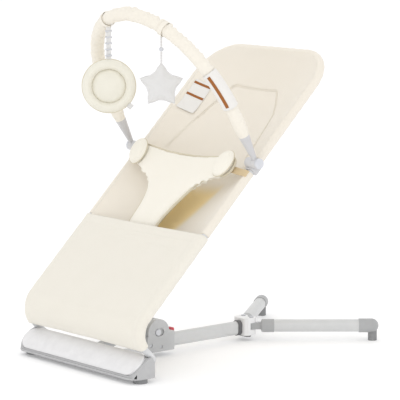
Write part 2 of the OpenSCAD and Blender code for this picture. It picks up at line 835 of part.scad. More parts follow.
module bar_clamp(side) {
    color([0.72, 0.72, 0.73]) on_slope() difference() {
        union() {
            translate([side * tube_x - 9, clamp_s - clamp_half, -9]) cube([18, 2 * clamp_half, 18]);
            rod_x(10, side * tube_x - 9, side * tube_x + 9, clamp_s, pivot_rise);
        }
        translate([side * tube_x, clamp_s - 40, 0]) rotate([-90, 0, 0]) cylinder(r = tube_r, h = 80);
        rod_x(bar_pin_r, -300, 300, clamp_s, pivot_rise);
    }
}

module bar_clamp_left() { bar_clamp(-1); }
module bar_clamp_right() { bar_clamp(1); }

module clamp_pins() {
    color([0.60, 0.60, 0.61]) on_slope() for (side = [-1, 1]) mirror([side > 0 ? 0 : 1, 0, 0]) union() {
        rod_x(bar_pin_r, tube_x - 8, eye_out + gap, clamp_s, pivot_rise);
        rod_x(eye_r, eye_out + gap, eye_out + gap + 4.5, clamp_s, pivot_rise);
    }
}

// Two legs, two side arcs and a top arc; a short straight ferrule joins each side arc to the top arc
module arch_path(r_out, r_in, foot) {
    side_cut = asin(ferrule_half / arch_side_r);
    top_cut = asin(ferrule_half / arch_top_r);
    union() {
        for (side = [-1, 1]) mirror([side > 0 ? 0 : 1, 0, 0]) {
            translate([bar_half_w, 0, foot]) linear_extrude(height = leg_h - foot) ring(r_out, r_in);
            translate([-arch_shift, 0, leg_h]) rotate([90, 0, 0])
                rotate_extrude(angle = arch_angle - side_cut) translate([arch_side_r, 0]) ring(r_out, r_in);
            translate([0, 0, arch_top_z]) rotate([0, -arch_angle, 0]) translate([arch_top_r, 0, -2 * ferrule_half])
                linear_extrude(height = 4 * ferrule_half) ring(r_out + ferrule_t, r_in + ferrule_t);
        }
        translate([0, 0, arch_top_z]) rotate([90, 0, 0]) rotate([0, 0, arch_angle + top_cut])
            rotate_extrude(angle = 180 - 2 * (arch_angle + top_cut)) translate([arch_top_r, 0]) ring(r_out, r_in);
    }
}

module toy_bar_tube() {
    color([0.80, 0.80, 0.81]) on_arch() arch_path(bar_tube_r, bar_tube_r - 1, 24);
}

module bar_sleeve() {
    color([0.95, 0.93, 0.88]) on_arch() arch_path(sleeve_r, bar_tube_r + gap, connector_len);
}

module bar_connector(side) {
    color([0.72, 0.71, 0.69]) on_arch() difference() {
        union() {
            rod_x(eye_r, side > 0 ? eye_in : -eye_out, side > 0 ? eye_out : -eye_in, 0, 0);
            translate([side * bar_half_w, 0, 0]) cylinder(r = stem_r, h = stem_top + 1);
            translate([side * bar_half_w, 0, stem_top])
                cylinder(r1 = stem_r + 0.3, r2 = sleeve_r - 2.4, h = connector_len - stem_top - 0.4);
        }
        rod_x(bar_pin_r + run, -300, 300, 0, 0);
        translate([side * bar_half_w, 0, 24]) cylinder(r = bar_tube_r, h = 80);
    }
}

module bar_connector_left() { bar_connector(-1); }
module bar_connector_right() { bar_connector(1); }

module bar_label() {
    label_from = 4;
    label_to = 24;
    color([0.90, 0.88, 0.84]) on_arch() translate([-arch_shift, 0, leg_h]) rotate([90, 0, 0])
        rotate([0, 0, label_from]) rotate_extrude(angle = label_to - label_from)
            translate([arch_side_r, 0]) ring(sleeve_r + 1.2, sleeve_r + gap);
}

// ---- Toys ----

// World axes at the bar centre above a toy
module under_bar(x) {
    z = arch_z(x);
    placed() translate([x, pivot_pos[0] - z * sin(bar_lean), pivot_pos[1] + z * cos(bar_lean)]) children();
}

// Place across the bar of the loop whose lowest point is straight above a toy
function loop_x(x) = x + loop_r * x / arch_top_r * cos(bar_lean) / sqrt(1 - pow(x / arch_top_r * cos(bar_lean), 2));

module along_bar(x, r, length) {
    under_bar(x) rotate([bar_lean, 0, 0]) rotate([0, -arch_tilt(x), 0]) rotate([0, 90, 0])
        cylinder(r = r, h = length, center = true);
}

// A fabric loop round the sleeve, with what hangs from it
module hung_from_loop(x) {
    difference() {
        union() {
            along_bar(loop_x(x), loop_r + loop_t, loop_w);
            under_bar(x) children();
        }
        along_bar(loop_x(x), loop_r, 5 * loop_w);
    }
}

module disc_toy() {
    color([0.94, 0.93, 0.88]) under_bar(disc_x) translate([0, 0, -disc_drop]) rotate([0, 0, face_turn])
        rotate([90, 0, 0]) translate([0, 0, -disc_t_toy / 2]) cylinder(d = disc_toy_d, h = disc_t_toy);
}

module disc_strap() {
    hang = disc_drop - disc_toy_d / 2 - loop_r;
    color([0.92, 0.91, 0.88]) hung_from_loop(disc_x)
        rotate([0, 0, face_turn]) translate([-strap_w / 2, -strap_t / 2, disc_toy_d / 2 - disc_drop])
        cube([strap_w, strap_t, hang]);
}

function star_points(r_out, r_in) = [
    for (i = [0:9]) let (r = i % 2 == 0 ? r_out : r_in) [r * cos(90 + 36 * i), r * sin(90 + 36 * i)]
];

module star_toy() {
    r_out = star_w / 2 / cos(18);
    color([0.92, 0.91, 0.90]) under_bar(star_x) translate([0, 0, -star_drop]) rotate([0, 0, face_turn])
        rotate([90, 0, 0]) translate([0, 0, -star_t / 2]) linear_extrude(height = star_t)
            polygon(star_points(r_out, r_out * 0.56));
}

module star_cord() {
    r_out = star_w / 2 / cos(18);
    color([0.92, 0.91, 0.88]) hung_from_loop(star_x) union() {
        translate([0, 0, r_out - star_drop]) cylinder(r = 1.6, h = star_drop - r_out - loop_r);
        translate([0, 0, -bead_drop]) sphere(r = bead_r);
    }
}

base_shell();
base_cover();
base_plate();
base_feet();
base_screws();
spine_bar();
housing_left();
housing_right();
hinge_bolt();
hinge_nut();
housing_screws();
strut_tube();
strut_ring();
rear_hub();
hub_pad();
arm_pins();
lock_slide();
lock_spring();
arm_knuckle_left();
arm_tube_left();
arm_collar_left();
arm_cap_left();
arm_foot_left();
arm_knuckle_right();
arm_tube_right();
arm_collar_right();
arm_cap_right();
arm_foot_right();
hinge_disc();
bracket_rivet();
frame_bracket();
cross_tube();
lower_bend_left();
lower_bend_right();
foot_bend_left();
foot_bend_right();
side_tube_left();
side_tube_right();
top_bow();
sling();
apron();
harness_bib();
harness_buttons();
harness_tabs();
care_label();
bar_clamp_left();
bar_clamp_right();
clamp_pins();
toy_bar_tube();
bar_sleeve();
bar_connector_left();
bar_connector_right();
bar_label();
disc_toy();
disc_strap();
star_toy();
star_cord();
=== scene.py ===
"""Soft goods, finishes, light and camera for the folding bouncer seat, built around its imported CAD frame."""

import math

import bmesh
import bpy
from mathutils import Matrix, Vector, noise


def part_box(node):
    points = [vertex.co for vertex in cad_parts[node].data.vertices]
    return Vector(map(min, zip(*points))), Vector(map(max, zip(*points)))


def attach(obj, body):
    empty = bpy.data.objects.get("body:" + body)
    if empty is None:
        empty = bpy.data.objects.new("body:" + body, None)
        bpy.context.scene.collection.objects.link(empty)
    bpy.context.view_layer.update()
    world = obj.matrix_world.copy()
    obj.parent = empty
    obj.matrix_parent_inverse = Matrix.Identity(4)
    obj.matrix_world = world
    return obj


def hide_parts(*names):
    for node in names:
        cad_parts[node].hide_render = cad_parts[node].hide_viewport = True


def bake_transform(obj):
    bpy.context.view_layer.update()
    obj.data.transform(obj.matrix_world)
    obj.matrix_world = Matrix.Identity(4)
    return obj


bl_info = {
    "name": "Bouncer Seat",
    "version": (1, 0, 0),
    "blender": (4, 5, 0),
    "location": "View3D > Sidebar > Bouncer Seat",
    "description": "Builds the fabric, padding and finishes of a folding bouncer seat",
    "category": "Add Mesh",
}

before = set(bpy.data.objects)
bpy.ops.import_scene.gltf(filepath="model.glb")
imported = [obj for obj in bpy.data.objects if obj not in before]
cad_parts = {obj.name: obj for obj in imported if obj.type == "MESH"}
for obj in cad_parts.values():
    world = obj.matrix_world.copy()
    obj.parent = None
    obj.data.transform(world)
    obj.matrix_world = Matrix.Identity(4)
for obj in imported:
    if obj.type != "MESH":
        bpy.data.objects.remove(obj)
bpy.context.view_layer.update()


# Layout of the part, in metres, in the frame's own axes

FEET_LOW, FEET_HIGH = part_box("base_feet")
FRONT_Y = (FEET_LOW.y + FEET_HIGH.y) / 2 + 0.001
INCLINE = math.radians(44.3)
UP_SLOPE = Vector((0, math.cos(INCLINE), math.sin(INCLINE)))
OFF_SLOPE = Vector((0, -math.sin(INCLINE), math.cos(INCLINE)))
BEND_R = 0.042
BEND_CENTRE = Vector((0, 0.037 + FRONT_Y, 0.090))
TOE = BEND_CENTRE + BEND_R * OFF_SLOPE
BEND_SWEEP = math.radians(225 - 134.3)
APRON_SWEEP = math.radians(215 - 134.3)
TUBE_R = 0.0065
HEM_R = 0.0083
TUBE_X = 0.1738
SLOPE_LEN = 0.660
CORNER_R = 0.077
CORNER_X = TUBE_X - CORNER_R
CORNER_S = SLOPE_LEN - CORNER_R
SAG = 0.045
APRON_LEN = 0.196
SLING_START = 0.200
POCKET_START = 0.097
CLAMP_S = 0.373
CLAMP_HALF = 0.016
BIB_START = 0.184
BIB_LOW = -0.009
BIB_T = 0.006
BIB_LEAN = 0.024
BUTTON_S = 0.350
BUTTON_X = 0.130
BUTTON_N = 0.025
BIB_TILT = math.atan2(BUTTON_N - BIB_LOW - BIB_T, BUTTON_S - BIB_START)
BIB_REACH = (BUTTON_S - BIB_START) / math.cos(BIB_TILT)
BAR_LEAN = math.radians(29.8)
BAR_HALF_W = 0.1885
ARCH_SIDE_R = 0.236
ARCH_TOP_R = 0.176
LEG_H = 0.110
ARCH_SHIFT = ARCH_SIDE_R - BAR_HALF_W
ARCH_RISE = math.sqrt((ARCH_SIDE_R - ARCH_TOP_R) ** 2 - ARCH_SHIFT**2)
ARCH_ANGLE = math.atan2(ARCH_RISE, ARCH_SHIFT)
ARCH_TOP_Z = LEG_H + ARCH_RISE
SIDE_ARC = ARCH_SIDE_R * ARCH_ANGLE
TOP_ARC = ARCH_TOP_R * (math.pi - 2 * ARCH_ANGLE)
ARCH_LEN = 2 * (LEG_H + SIDE_ARC) + TOP_ARC
CONNECTOR_LEN = 0.064
SLEEVE_R = 0.013
DISC_X = -0.068
DISC_DROP = 0.130
STAR_X = 0.087
STAR_DROP = 0.110
FACE_TURN = math.radians(50)
SLOPE_ROTATION = (-INCLINE, 0.0, 0.0)
FACE_ROTATION = tuple((Matrix.Rotation(-math.pi / 2, 3, "X") @ Matrix.Rotation(-FACE_TURN, 3, "Z")).to_euler("XYZ"))


def slope(x, s, n):
    """A point at distance s up the slope and height n above the tube centres."""
    return Vector((x, 0, 0)) + TOE + s * UP_SLOPE + n * OFF_SLOPE


PIVOT = slope(0, CLAMP_S, 0.012)


def arch(x, z, y=0.0):
    """A point in the plane of the toy bar, x across and z up its legs from the pivots."""
    c, s = math.cos(BAR_LEAN), math.sin(BAR_LEAN)
    return PIVOT + Vector((x, y * c - z * s, y * s + z * c))


def arch_path(length):
    """Point and direction on the toy bar's centre line, length along it from the left pivot."""
    mirrored = length > ARCH_LEN / 2
    d = ARCH_LEN - length if mirrored else length
    if d < LEG_H:
        x, z, dx, dz = -BAR_HALF_W, d, 0.0, 1.0
    elif d < LEG_H + SIDE_ARC:
        a = (d - LEG_H) / ARCH_SIDE_R
        x, z = ARCH_SHIFT - ARCH_SIDE_R * math.cos(a), LEG_H + ARCH_SIDE_R * math.sin(a)
        dx, dz = math.sin(a), math.cos(a)
    else:
        a = ARCH_ANGLE + (d - LEG_H - SIDE_ARC) / ARCH_TOP_R
        x, z = -ARCH_TOP_R * math.cos(a), ARCH_TOP_Z + ARCH_TOP_R * math.sin(a)
        dx, dz = math.sin(a), math.cos(a)
    if mirrored:
        x, dz = -x, -dz
    return arch(x, z), (arch(dx, dz) - PIVOT).normalized()


def bar_point(x):
    """Centre of the toy bar above a toy that hangs at x."""
    return arch(x, ARCH_TOP_Z + math.sqrt(ARCH_TOP_R**2 - x**2))


def soft_step(a, b, x):
    t = min(max((x - a) / (b - a), 0.0), 1.0)
    return t * t * (3 - 2 * t)


def mix(a, b, t):
    return a + (b - a) * t


def srgb(r, g, b):
    """Linear colour from the 0 to 255 values of a colour card."""
    return tuple((c / 255 / 12.92) if c / 255 <= 0.04045 else ((c / 255 + 0.055) / 1.055) ** 2.4 for c in (r, g, b))


FACE_AXES = (
    Vector((math.cos(FACE_TURN), math.sin(FACE_TURN), 0)),
    Vector((math.sin(FACE_TURN), -math.cos(FACE_TURN), 0)),
    Vector((0, 0, 1)),
)


def spoke(angle):
    """Direction from the middle of a toy's face towards its edge."""
    return math.cos(angle) * FACE_AXES[0] + math.sin(angle) * FACE_AXES[2]


# Mesh making


def finish_mesh(name, bm, material, body):
    """Turns a bmesh into a smooth-shaded piece that rides on a body."""
    for f in bm.faces:
        f.smooth = True
    mesh = bpy.data.meshes.new(name)
    bm.to_mesh(mesh)
    bm.free()
    piece = bpy.data.objects.new(name, mesh)
    bpy.context.scene.collection.objects.link(piece)
    mesh.materials.append(material)
    if body:
        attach(piece, body)
    return piece


def empty_mesh():
    bm = bmesh.new()
    bm.loops.layers.uv.new("UVMap")
    return bm


def mapped_grid(across, along, place, size, outward=True):
    """A grid whose points are placed by place(u, v), with u and v from 0 to 1 and its UV map in metres."""
    bm = bmesh.new()
    uv = bm.loops.layers.uv.new("UVMap")
    bmesh.ops.create_grid(bm, x_segments=across, y_segments=along, size=0.5, calc_uvs=True)
    for f in bm.faces:
        for loop in f.loops:
            loop[uv].uv = ((loop.vert.co.x + 0.5) * size[0], (loop.vert.co.y + 0.5) * size[1])
    for v in bm.verts:
        v.co = place(v.co.x + 0.5, v.co.y + 0.5)
    if outward:
        bmesh.ops.remove_doubles(bm, verts=bm.verts, dist=1e-6)
        bmesh.ops.recalc_face_normals(bm, faces=bm.faces)
    return bm


def frame_along(direction, side):
    """Two axes square to a direction, the first as near as possible to side."""
    a = (side - side.dot(direction) * direction).normalized()
    return a, direction.cross(a).normalized()


def tube_mesh(path, radius, around, along, side, size=None, flat=1.0):
    """A closed tube along path(t), which gives a point and a direction; radius(angle, t) gives its surface."""

    def place(u, v):
        point, direction = path(v)
        a, b = frame_along(direction, side)
        angle = 2 * math.pi * u
        r = radius(angle, v)
        return point + r * (math.cos(angle) * a + flat * math.sin(angle) * b)

    bm = mapped_grid(around, along, place, size or (0.05, 0.3))
    bmesh.ops.holes_fill(bm, edges=[e for e in bm.edges if e.is_boundary], sides=0)
    bmesh.ops.recalc_face_normals(bm, faces=bm.faces)
    return bm


def line_path(points):
    """A path(t) through points, by length, with its direction."""
    lengths = [0.0]
    for p, q in zip(points, points[1:]):
        lengths.append(lengths[-1] + (q - p).length)

    def path(t):
        d = min(max(t, 0.0), 1.0) * lengths[-1]
        i = next((k for k in range(1, len(points)) if d <= lengths[k] + 1e-9), len(points) - 1)
        p, q = points[i - 1], points[i]
        share = (d - lengths[i - 1]) / max(lengths[i] - lengths[i - 1], 1e-9)
        before = points[max(i - 2, 0)]
        after = points[min(i + 1, len(points) - 1)]
        direction = mix((q - before), (after - p), share)
        return p + (q - p) * share, direction.normalized()

    return path, lengths[-1]


def cord_tube(points, radius, side, around=10, along=None):
    path, length = line_path(points)
    steps = along or max(int(length / 0.002), 8)
    return tube_mesh(path, lambda angle, t: radius, around, steps, side, (2 * math.pi * radius, length))


def join_bmesh(target, other):
    """Adds the faces of one bmesh to another."""
    mesh = bpy.data.meshes.new("join")
    other.to_mesh(mesh)
    other.free()
    target.from_mesh(mesh)
    bpy.data.meshes.remove(mesh)


def thicken(piece, thickness, offset=-1.0, subdivide=1):
    solid = piece.modifiers.new("Thickness", "SOLIDIFY")
    solid.thickness = thickness
    solid.offset = offset
    if subdivide:
        smooth_more(piece, subdivide)


def smooth_more(piece, levels=1):
    subdivision = piece.modifiers.new("Smooth", "SUBSURF")
    subdivision.levels = levels
    subdivision.render_levels = levels


def wobble(point, size, seed=0.0):
    """A smooth value from about -1 to 1 that changes over the given size."""
    return noise.noise(point / size + Vector((seed, seed * 1.7, -seed)))


def soften(piece, factor, times):
    """Smooths a piece's points towards their neighbours."""
    bm = bmesh.new()
    bm.from_mesh(piece.data)
    for _ in range(times):
        bmesh.ops.smooth_vert(bm, verts=bm.verts, factor=factor, use_axis_x=True, use_axis_y=True, use_axis_z=True)
    bm.to_mesh(piece.data)
    bm.free()


CLOTH_SETTINGS = {
    "quality": 5,
    "mass": 0.15,
    "tension_stiffness": 20,
    "compression_stiffness": 20,
    "shear_stiffness": 8,
    "bending_stiffness": 0.6,
    "use_pressure": True,
}
CLOTH_FRAMES = 20


def puff(piece, voxel, pressure, cap, calm=0):
    """Blows a padded piece up as cloth, lets no point move further than cap, and keeps the result as its mesh."""
    scene = bpy.context.scene
    start_frame = scene.frame_current
    remesh = piece.modifiers.new("Remesh", "REMESH")
    remesh.mode = "VOXEL"
    remesh.voxel_size = voxel
    remesh.use_smooth_shade = True
    keep_result(piece)
    before = [v.co.copy() for v in piece.data.vertices]
    cloth_modifier = piece.modifiers.new("Cloth", "CLOTH")
    settings = cloth_modifier.settings
    for key, value in CLOTH_SETTINGS.items():
        setattr(settings, key, value)
    settings.uniform_pressure_force = pressure
    settings.effector_weights.gravity = 0.0
    cloth_modifier.point_cache.frame_start = 1
    cloth_modifier.point_cache.frame_end = CLOTH_FRAMES
    for number in range(1, CLOTH_FRAMES + 1):
        scene.frame_set(number)
    keep_result(piece)
    scene.frame_set(start_frame)
    for vertex, old in zip(piece.data.vertices, before):
        move = vertex.co - old
        if move.length > cap:
            vertex.co = old + move.normalized() * cap
    soften(piece, 0.5, calm)
    for face in piece.data.polygons:
        face.use_smooth = True
    smooth_more(piece, 1)


def keep_result(piece):
    """Makes what a piece's modifiers give its own mesh, and takes the modifiers off."""
    graph = bpy.context.evaluated_depsgraph_get()
    result = bpy.data.meshes.new_from_object(piece.evaluated_get(graph), preserve_all_data_layers=True, depsgraph=graph)
    old = piece.data
    piece.modifiers.clear()
    piece.data = result
    result.name = old.name
    bpy.data.meshes.remove(old)


def surface_area(piece):
    mesh = piece.data
    mesh.calc_loop_triangles()
    return sum(t.area for t in mesh.loop_triangles)


# Shader groups shared by several finishes


def socket(group, name, kind, way, default=None):
    s = group.interface.new_socket(name=name, in_out=way, socket_type=kind)
    if default is not None:
        s.default_value = default
    return s


def new_group(name, inputs, outputs):
    group = bpy.data.node_groups.new(name, "ShaderNodeTree")
    for label, kind, default in inputs:
        socket(group, label, kind, "INPUT", default)
    for label, kind in outputs:
        socket(group, label, kind, "OUTPUT")
    return group, group.nodes.new("NodeGroupInput"), group.nodes.new("NodeGroupOutput")


def math_node(tree, operation, a, b):
    n = tree.nodes.new("ShaderNodeMath")
    n.operation = operation
    for i, value in enumerate((a, b)):
        if isinstance(value, (int, float)):
            n.inputs[i].default_value = value
        else:
            tree.links.new(value, n.inputs[i])
    return n.outputs[0]


def weave_group():
    """Plain weave of crossing threads at a place on the cloth: height, and shade from thread to thread."""
    name = "Woven cloth"
    if name in bpy.data.node_groups:
        return bpy.data.node_groups[name]
    group, gin, gout = new_group(
        name,
        [
            ("Place", "NodeSocketVector", (0.0, 0.0, 0.0)),
            ("Threads per metre", "NodeSocketFloat", 900.0),
            ("Unevenness", "NodeSocketFloat", 0.15),
        ],
        [("Height", "NodeSocketFloat"), ("Shade", "NodeSocketFloat")],
    )
    separate = group.nodes.new("ShaderNodeSeparateXYZ")
    group.links.new(gin.outputs["Place"], separate.inputs[0])
    turns = math_node(group, "MULTIPLY", gin.outputs["Threads per metre"], math.pi)
    waves = []
    for axis in ("X", "Y"):
        angle = math_node(group, "MULTIPLY", separate.outputs[axis], turns)
        waves.append(math_node(group, "ABSOLUTE", math_node(group, "SINE", angle, 0.0), 0.0))
    height = math_node(group, "MULTIPLY", waves[0], waves[1])
    cloud = group.nodes.new("ShaderNodeTexNoise")
    cloud.inputs["Scale"].default_value = 24.0
    cloud.inputs["Detail"].default_value = 5.0
    coordinates = group.nodes.new("ShaderNodeTexCoord")
    group.links.new(coordinates.outputs["Object"], cloud.inputs["Vector"])
    uneven = math_node(group, "MULTIPLY", cloud.outputs[0], gin.outputs["Unevenness"])
    group.links.new(math_node(group, "ADD", height, uneven), gout.inputs["Height"])
    shade = math_node(group, "MULTIPLY", math_node(group, "SUBTRACT", height, 0.4), gin.outputs["Unevenness"])
    cloud_shade = math_node(group, "MULTIPLY", math_node(group, "SUBTRACT", cloud.outputs[0], 0.5), 0.22)
    group.links.new(math_node(group, "ADD", shade, cloud_shade), gout.inputs["Shade"])
    return group


def grain_group():
    """Fine moulded or brushed grain in the object's own space, with slow clouding."""
    name = "Surface grain"
    if name in bpy.data.node_groups:
        return bpy.data.node_groups[name]
    group, gin, gout = new_group(
        name,
        [("Scale", "NodeSocketFloat", 900.0), ("Stretch", "NodeSocketVector", (1.0, 1.0, 1.0))],
        [("Height", "NodeSocketFloat"), ("Cloud", "NodeSocketFloat")],
    )
    coordinates = group.nodes.new("ShaderNodeTexCoord")
    stretch = group.nodes.new("ShaderNodeVectorMath")
    stretch.operation = "MULTIPLY"
    group.links.new(coordinates.outputs["Object"], stretch.inputs[0])
    group.links.new(gin.outputs["Stretch"], stretch.inputs[1])
    fine = group.nodes.new("ShaderNodeTexNoise")
    fine.inputs["Detail"].default_value = 3.0
    group.links.new(stretch.outputs[0], fine.inputs["Vector"])
    group.links.new(gin.outputs["Scale"], fine.inputs["Scale"])
    slow = group.nodes.new("ShaderNodeTexNoise")
    slow.inputs["Scale"].default_value = 14.0
    slow.inputs["Detail"].default_value = 4.0
    group.links.new(coordinates.outputs["Object"], slow.inputs["Vector"])
    group.links.new(fine.outputs[0], gout.inputs["Height"])
    group.links.new(slow.outputs[0], gout.inputs["Cloud"])
    return group


def edge_group():
    """Rubbed edges: lighter where a moulding's corners stand out."""
    name = "Rubbed edges"
    if name in bpy.data.node_groups:
        return bpy.data.node_groups[name]
    group, gin, gout = new_group(
        name,
        [("Amount", "NodeSocketFloat", 0.5), ("Broken", "NodeSocketFloat", 60.0)],
        [("Mask", "NodeSocketFloat")],
    )
    geometry = group.nodes.new("ShaderNodeNewGeometry")
    ramp = group.nodes.new("ShaderNodeMapRange")
    ramp.inputs["From Min"].default_value = 0.52
    ramp.inputs["From Max"].default_value = 0.62
    group.links.new(geometry.outputs["Pointiness"], ramp.inputs["Value"])
    coordinates = group.nodes.new("ShaderNodeTexCoord")
    spots = group.nodes.new("ShaderNodeTexNoise")
    group.links.new(coordinates.outputs["Object"], spots.inputs["Vector"])
    group.links.new(gin.outputs["Broken"], spots.inputs["Scale"])
    amount = math_node(group, "MULTIPLY", ramp.outputs[0], gin.outputs["Amount"])
    group.links.new(math_node(group, "MULTIPLY", amount, spots.outputs[0]), gout.inputs["Mask"])
    return group


def base_material(name):
    material = bpy.data.materials.new(name)
    material.use_nodes = True
    tree = material.node_tree
    shader = tree.nodes["Principled BSDF"]
    return material, tree, shader


def place_group(tree, group, **values):
    n = tree.nodes.new("ShaderNodeGroup")
    n.node_tree = group
    for key, value in values.items():
        n.inputs[key.replace("_", " ")].default_value = value
    return n


def mix_colour(tree, factor, a, b):
    n = tree.nodes.new("ShaderNodeMix")
    n.data_type = "RGBA"
    if isinstance(factor, (int, float)):
        n.inputs["Factor"].default_value = factor
    else:
        tree.links.new(factor, n.inputs["Factor"])
    for slot_name, value in (("A", a), ("B", b)):
        target = next(s for s in n.inputs if s.name == slot_name and s.type == "RGBA")
        if hasattr(value, "__len__"):
            target.default_value = (*value[:3], 1.0)
        else:
            tree.links.new(value, target)
    return next(s for s in n.outputs if s.type == "RGBA")


def bump(tree, height, strength, distance, shader):
    n = tree.nodes.new("ShaderNodeBump")
    n.inputs["Strength"].default_value = strength
    n.inputs["Distance"].default_value = distance
    tree.links.new(height, n.inputs["Height"])
    tree.links.new(n.outputs["Normal"], shader.inputs["Normal"])


def cloth(name, colour, shade, threads=900.0, depth=0.0004, sheen=0.25, unevenness=0.15, lining=None, turn=None):
    """A woven or knitted cloth, on the piece's UV map or turned to lie along it; a painted warm glow, standing in for
    light through shaded cloth, tints it where marked.
    """
    material, tree, shader = base_material(name)
    weave = place_group(tree, weave_group(), Threads_per_metre=threads, Unevenness=unevenness)
    if turn is None:
        uv = tree.nodes.new("ShaderNodeUVMap")
        uv.uv_map = "UVMap"
        tree.links.new(uv.outputs["UV"], weave.inputs["Place"])
    else:
        coordinates = tree.nodes.new("ShaderNodeTexCoord")
        mapping = tree.nodes.new("ShaderNodeMapping")
        mapping.inputs["Rotation"].default_value = turn
        tree.links.new(coordinates.outputs["Object"], mapping.inputs["Vector"])
        tree.links.new(mapping.outputs["Vector"], weave.inputs["Place"])
    factor = math_node(tree, "ADD", weave.outputs["Shade"], 0.5)
    colours = mix_colour(tree, factor, shade, colour)
    # Painted light: where the mesh's mask attribute marks it, the colour turns gold to stand in for warm light glowing
    # through shaded pocket cloth.
    if lining:
        attribute = tree.nodes.new("ShaderNodeAttribute")
        attribute.attribute_name = "lining"
        colours = mix_colour(tree, attribute.outputs["Fac"], colours, lining)
    tree.links.new(colours, shader.inputs["Base Color"])
    shader.inputs["Roughness"].default_value = 0.85
    shader.inputs["Sheen Weight"].default_value = sheen
    shader.inputs["Sheen Roughness"].default_value = 0.4
    shader.inputs["Specular IOR Level"].default_value = 0.2
    bump(tree, weave.outputs["Height"], 0.5, depth, shader)
    return material


def moulding(name, colour, worn, roughness, grain=900.0, depth=0.00006, coat=0.0, rub=0.5):
    """A moulded plastic with fine grain and rubbed edges."""
    material, tree, shader = base_material(name)
    surface = place_group(tree, grain_group(), Scale=grain)
    edges = place_group(tree, edge_group(), Amount=rub)
    clouded = mix_colour(tree, surface.outputs["Cloud"], colour, tuple(c * 0.96 for c in colour))
    colours = mix_colour(tree, edges.outputs["Mask"], clouded, worn)
    tree.links.new(colours, shader.inputs["Base Color"])
    rough = math_node(tree, "ADD", math_node(tree, "MULTIPLY", surface.outputs["Cloud"], 0.15), roughness - 0.07)
    tree.links.new(rough, shader.inputs["Roughness"])
    shader.inputs["Coat Weight"].default_value = coat
    shader.inputs["Coat Roughness"].default_value = 0.2
    bump(tree, surface.outputs["Height"], 0.35, depth, shader)
    return material


def metal(name, colour, worn, roughness, metallic, stretch=(1.0, 1.0, 1.0), grain=500.0):
    """Coated, anodised or plated metal with a drawn grain."""
    material, tree, shader = base_material(name)
    surface = place_group(tree, grain_group(), Scale=grain, Stretch=stretch)
    edges = place_group(tree, edge_group(), Amount=0.4)
    clouded = mix_colour(tree, surface.outputs["Cloud"], colour, tuple(c * 0.9 for c in colour))
    tree.links.new(mix_colour(tree, edges.outputs["Mask"], clouded, worn), shader.inputs["Base Color"])
    rough = math_node(tree, "ADD", math_node(tree, "MULTIPLY", surface.outputs["Height"], 0.2), roughness - 0.1)
    tree.links.new(rough, shader.inputs["Roughness"])
    shader.inputs["Metallic"].default_value = metallic
    bump(tree, surface.outputs["Height"], 0.2, 0.00004, shader)
    return material


FINISH = {}


def make_finishes(s):
    """Every finish of the seat, kept by name."""
    FINISH.update(
        # The sling's last colour is painted light: a gold glow through its shaded pocket cloth.
        sling=cloth("Sling mesh", s.cream, s.cream_shade, 1100.0, 0.0003, 0.3, 0.18, lining=s.lining),
        sling_back=cloth("Sling back", s.cream, s.cream_shade, 1100.0, 0.0003, 0.3, 0.18),
        apron=cloth("Apron knit", s.apron_cream, s.apron_shade, 1400.0, 0.00025, 0.3, 0.12),
        bib=cloth("Bib knit", s.bib_cream, s.bib_shade, 1200.0, 0.0003, 0.3, 0.12, turn=SLOPE_ROTATION),
        binding=cloth("Bib binding", srgb(228, 220, 200), srgb(208, 198, 174), 1600.0, 0.0003, 0.2),
        tab=cloth("Tab webbing", srgb(234, 214, 178), srgb(206, 182, 140), 700.0, 0.0006, 0.15, 0.3),
        sleeve=cloth("Ruched sleeve", s.sleeve_cream, s.cream_shade, 1300.0, 0.0003, 0.3, 0.15),
        toy=cloth("Round toy knit", srgb(245, 242, 231), srgb(233, 229, 214), 1000.0, 0.0004, 0.3, 0.15),
        toy_ring=cloth("Round toy stitching", srgb(230, 224, 203), srgb(214, 206, 182), 1600.0, 0.0003, 0.1),
        star=cloth(
            "Star velour", srgb(236, 235, 234), srgb(218, 217, 215),
            600.0, 0.0009, 0.5, 0.35, turn=FACE_ROTATION,
        ),
        ribbon=cloth("White ribbon", srgb(236, 235, 234), srgb(218, 217, 216), 1500.0, 0.0002, 0.15),
        label=cloth("Label satin", srgb(240, 238, 234), srgb(226, 223, 219), 1800.0, 0.0001, 0.1, 0.08),
        band=cloth("Orange band", srgb(172, 112, 62), srgb(150, 90, 44), 1800.0, 0.0001, 0.1, 0.08),
        white_shell=moulding("White cover", s.white_plastic, srgb(250, 250, 250), 0.32, 1300.0, 0.00003, 0.25),
        grey_shell=moulding("Grey base", srgb(180, 180, 181), srgb(200, 200, 200), 0.45),
        end_grey=moulding("Clamp grey", srgb(204, 203, 204), srgb(224, 223, 224), 0.4),
        hinge_grey=moulding("Hinge grey", srgb(190, 191, 192), srgb(212, 213, 214), 0.42),
        hub_white=moulding("Hub white", srgb(236, 236, 237), srgb(246, 246, 246), 0.38),
        dark_grey=moulding("Collar grey", srgb(170, 171, 172), srgb(184, 185, 186), 0.45),
        pin_grey=moulding("Pivot cap", srgb(206, 208, 214), srgb(240, 240, 242), 0.3, coat=0.3),
        # Dark grey for the hub pad, and painted shadow on the strut ring: there it stands in for the shadow line in the
        # gap between strut and rear hub.
        black_grey=moulding("Dark ring", srgb(96, 96, 98), srgb(130, 130, 132), 0.5),
        red=moulding("Red release", srgb(196, 44, 62), srgb(220, 96, 104), 0.35, coat=0.2),
        rubber=moulding("Foot rubber", srgb(122, 123, 124), srgb(176, 177, 178), 0.75, 500.0, 0.0001, rub=0.7),
        steel=metal("Zinc plate", srgb(190, 192, 196), srgb(224, 225, 228), 0.35, 1.0),
        tube=metal("Painted tube", srgb(218, 219, 220), srgb(230, 230, 230), 0.4, 0.15),
        aluminium=metal("Anodised tube", srgb(209, 210, 210), srgb(226, 226, 226), 0.42, 0.25, (1.0, 0.04, 1.0)),
    )


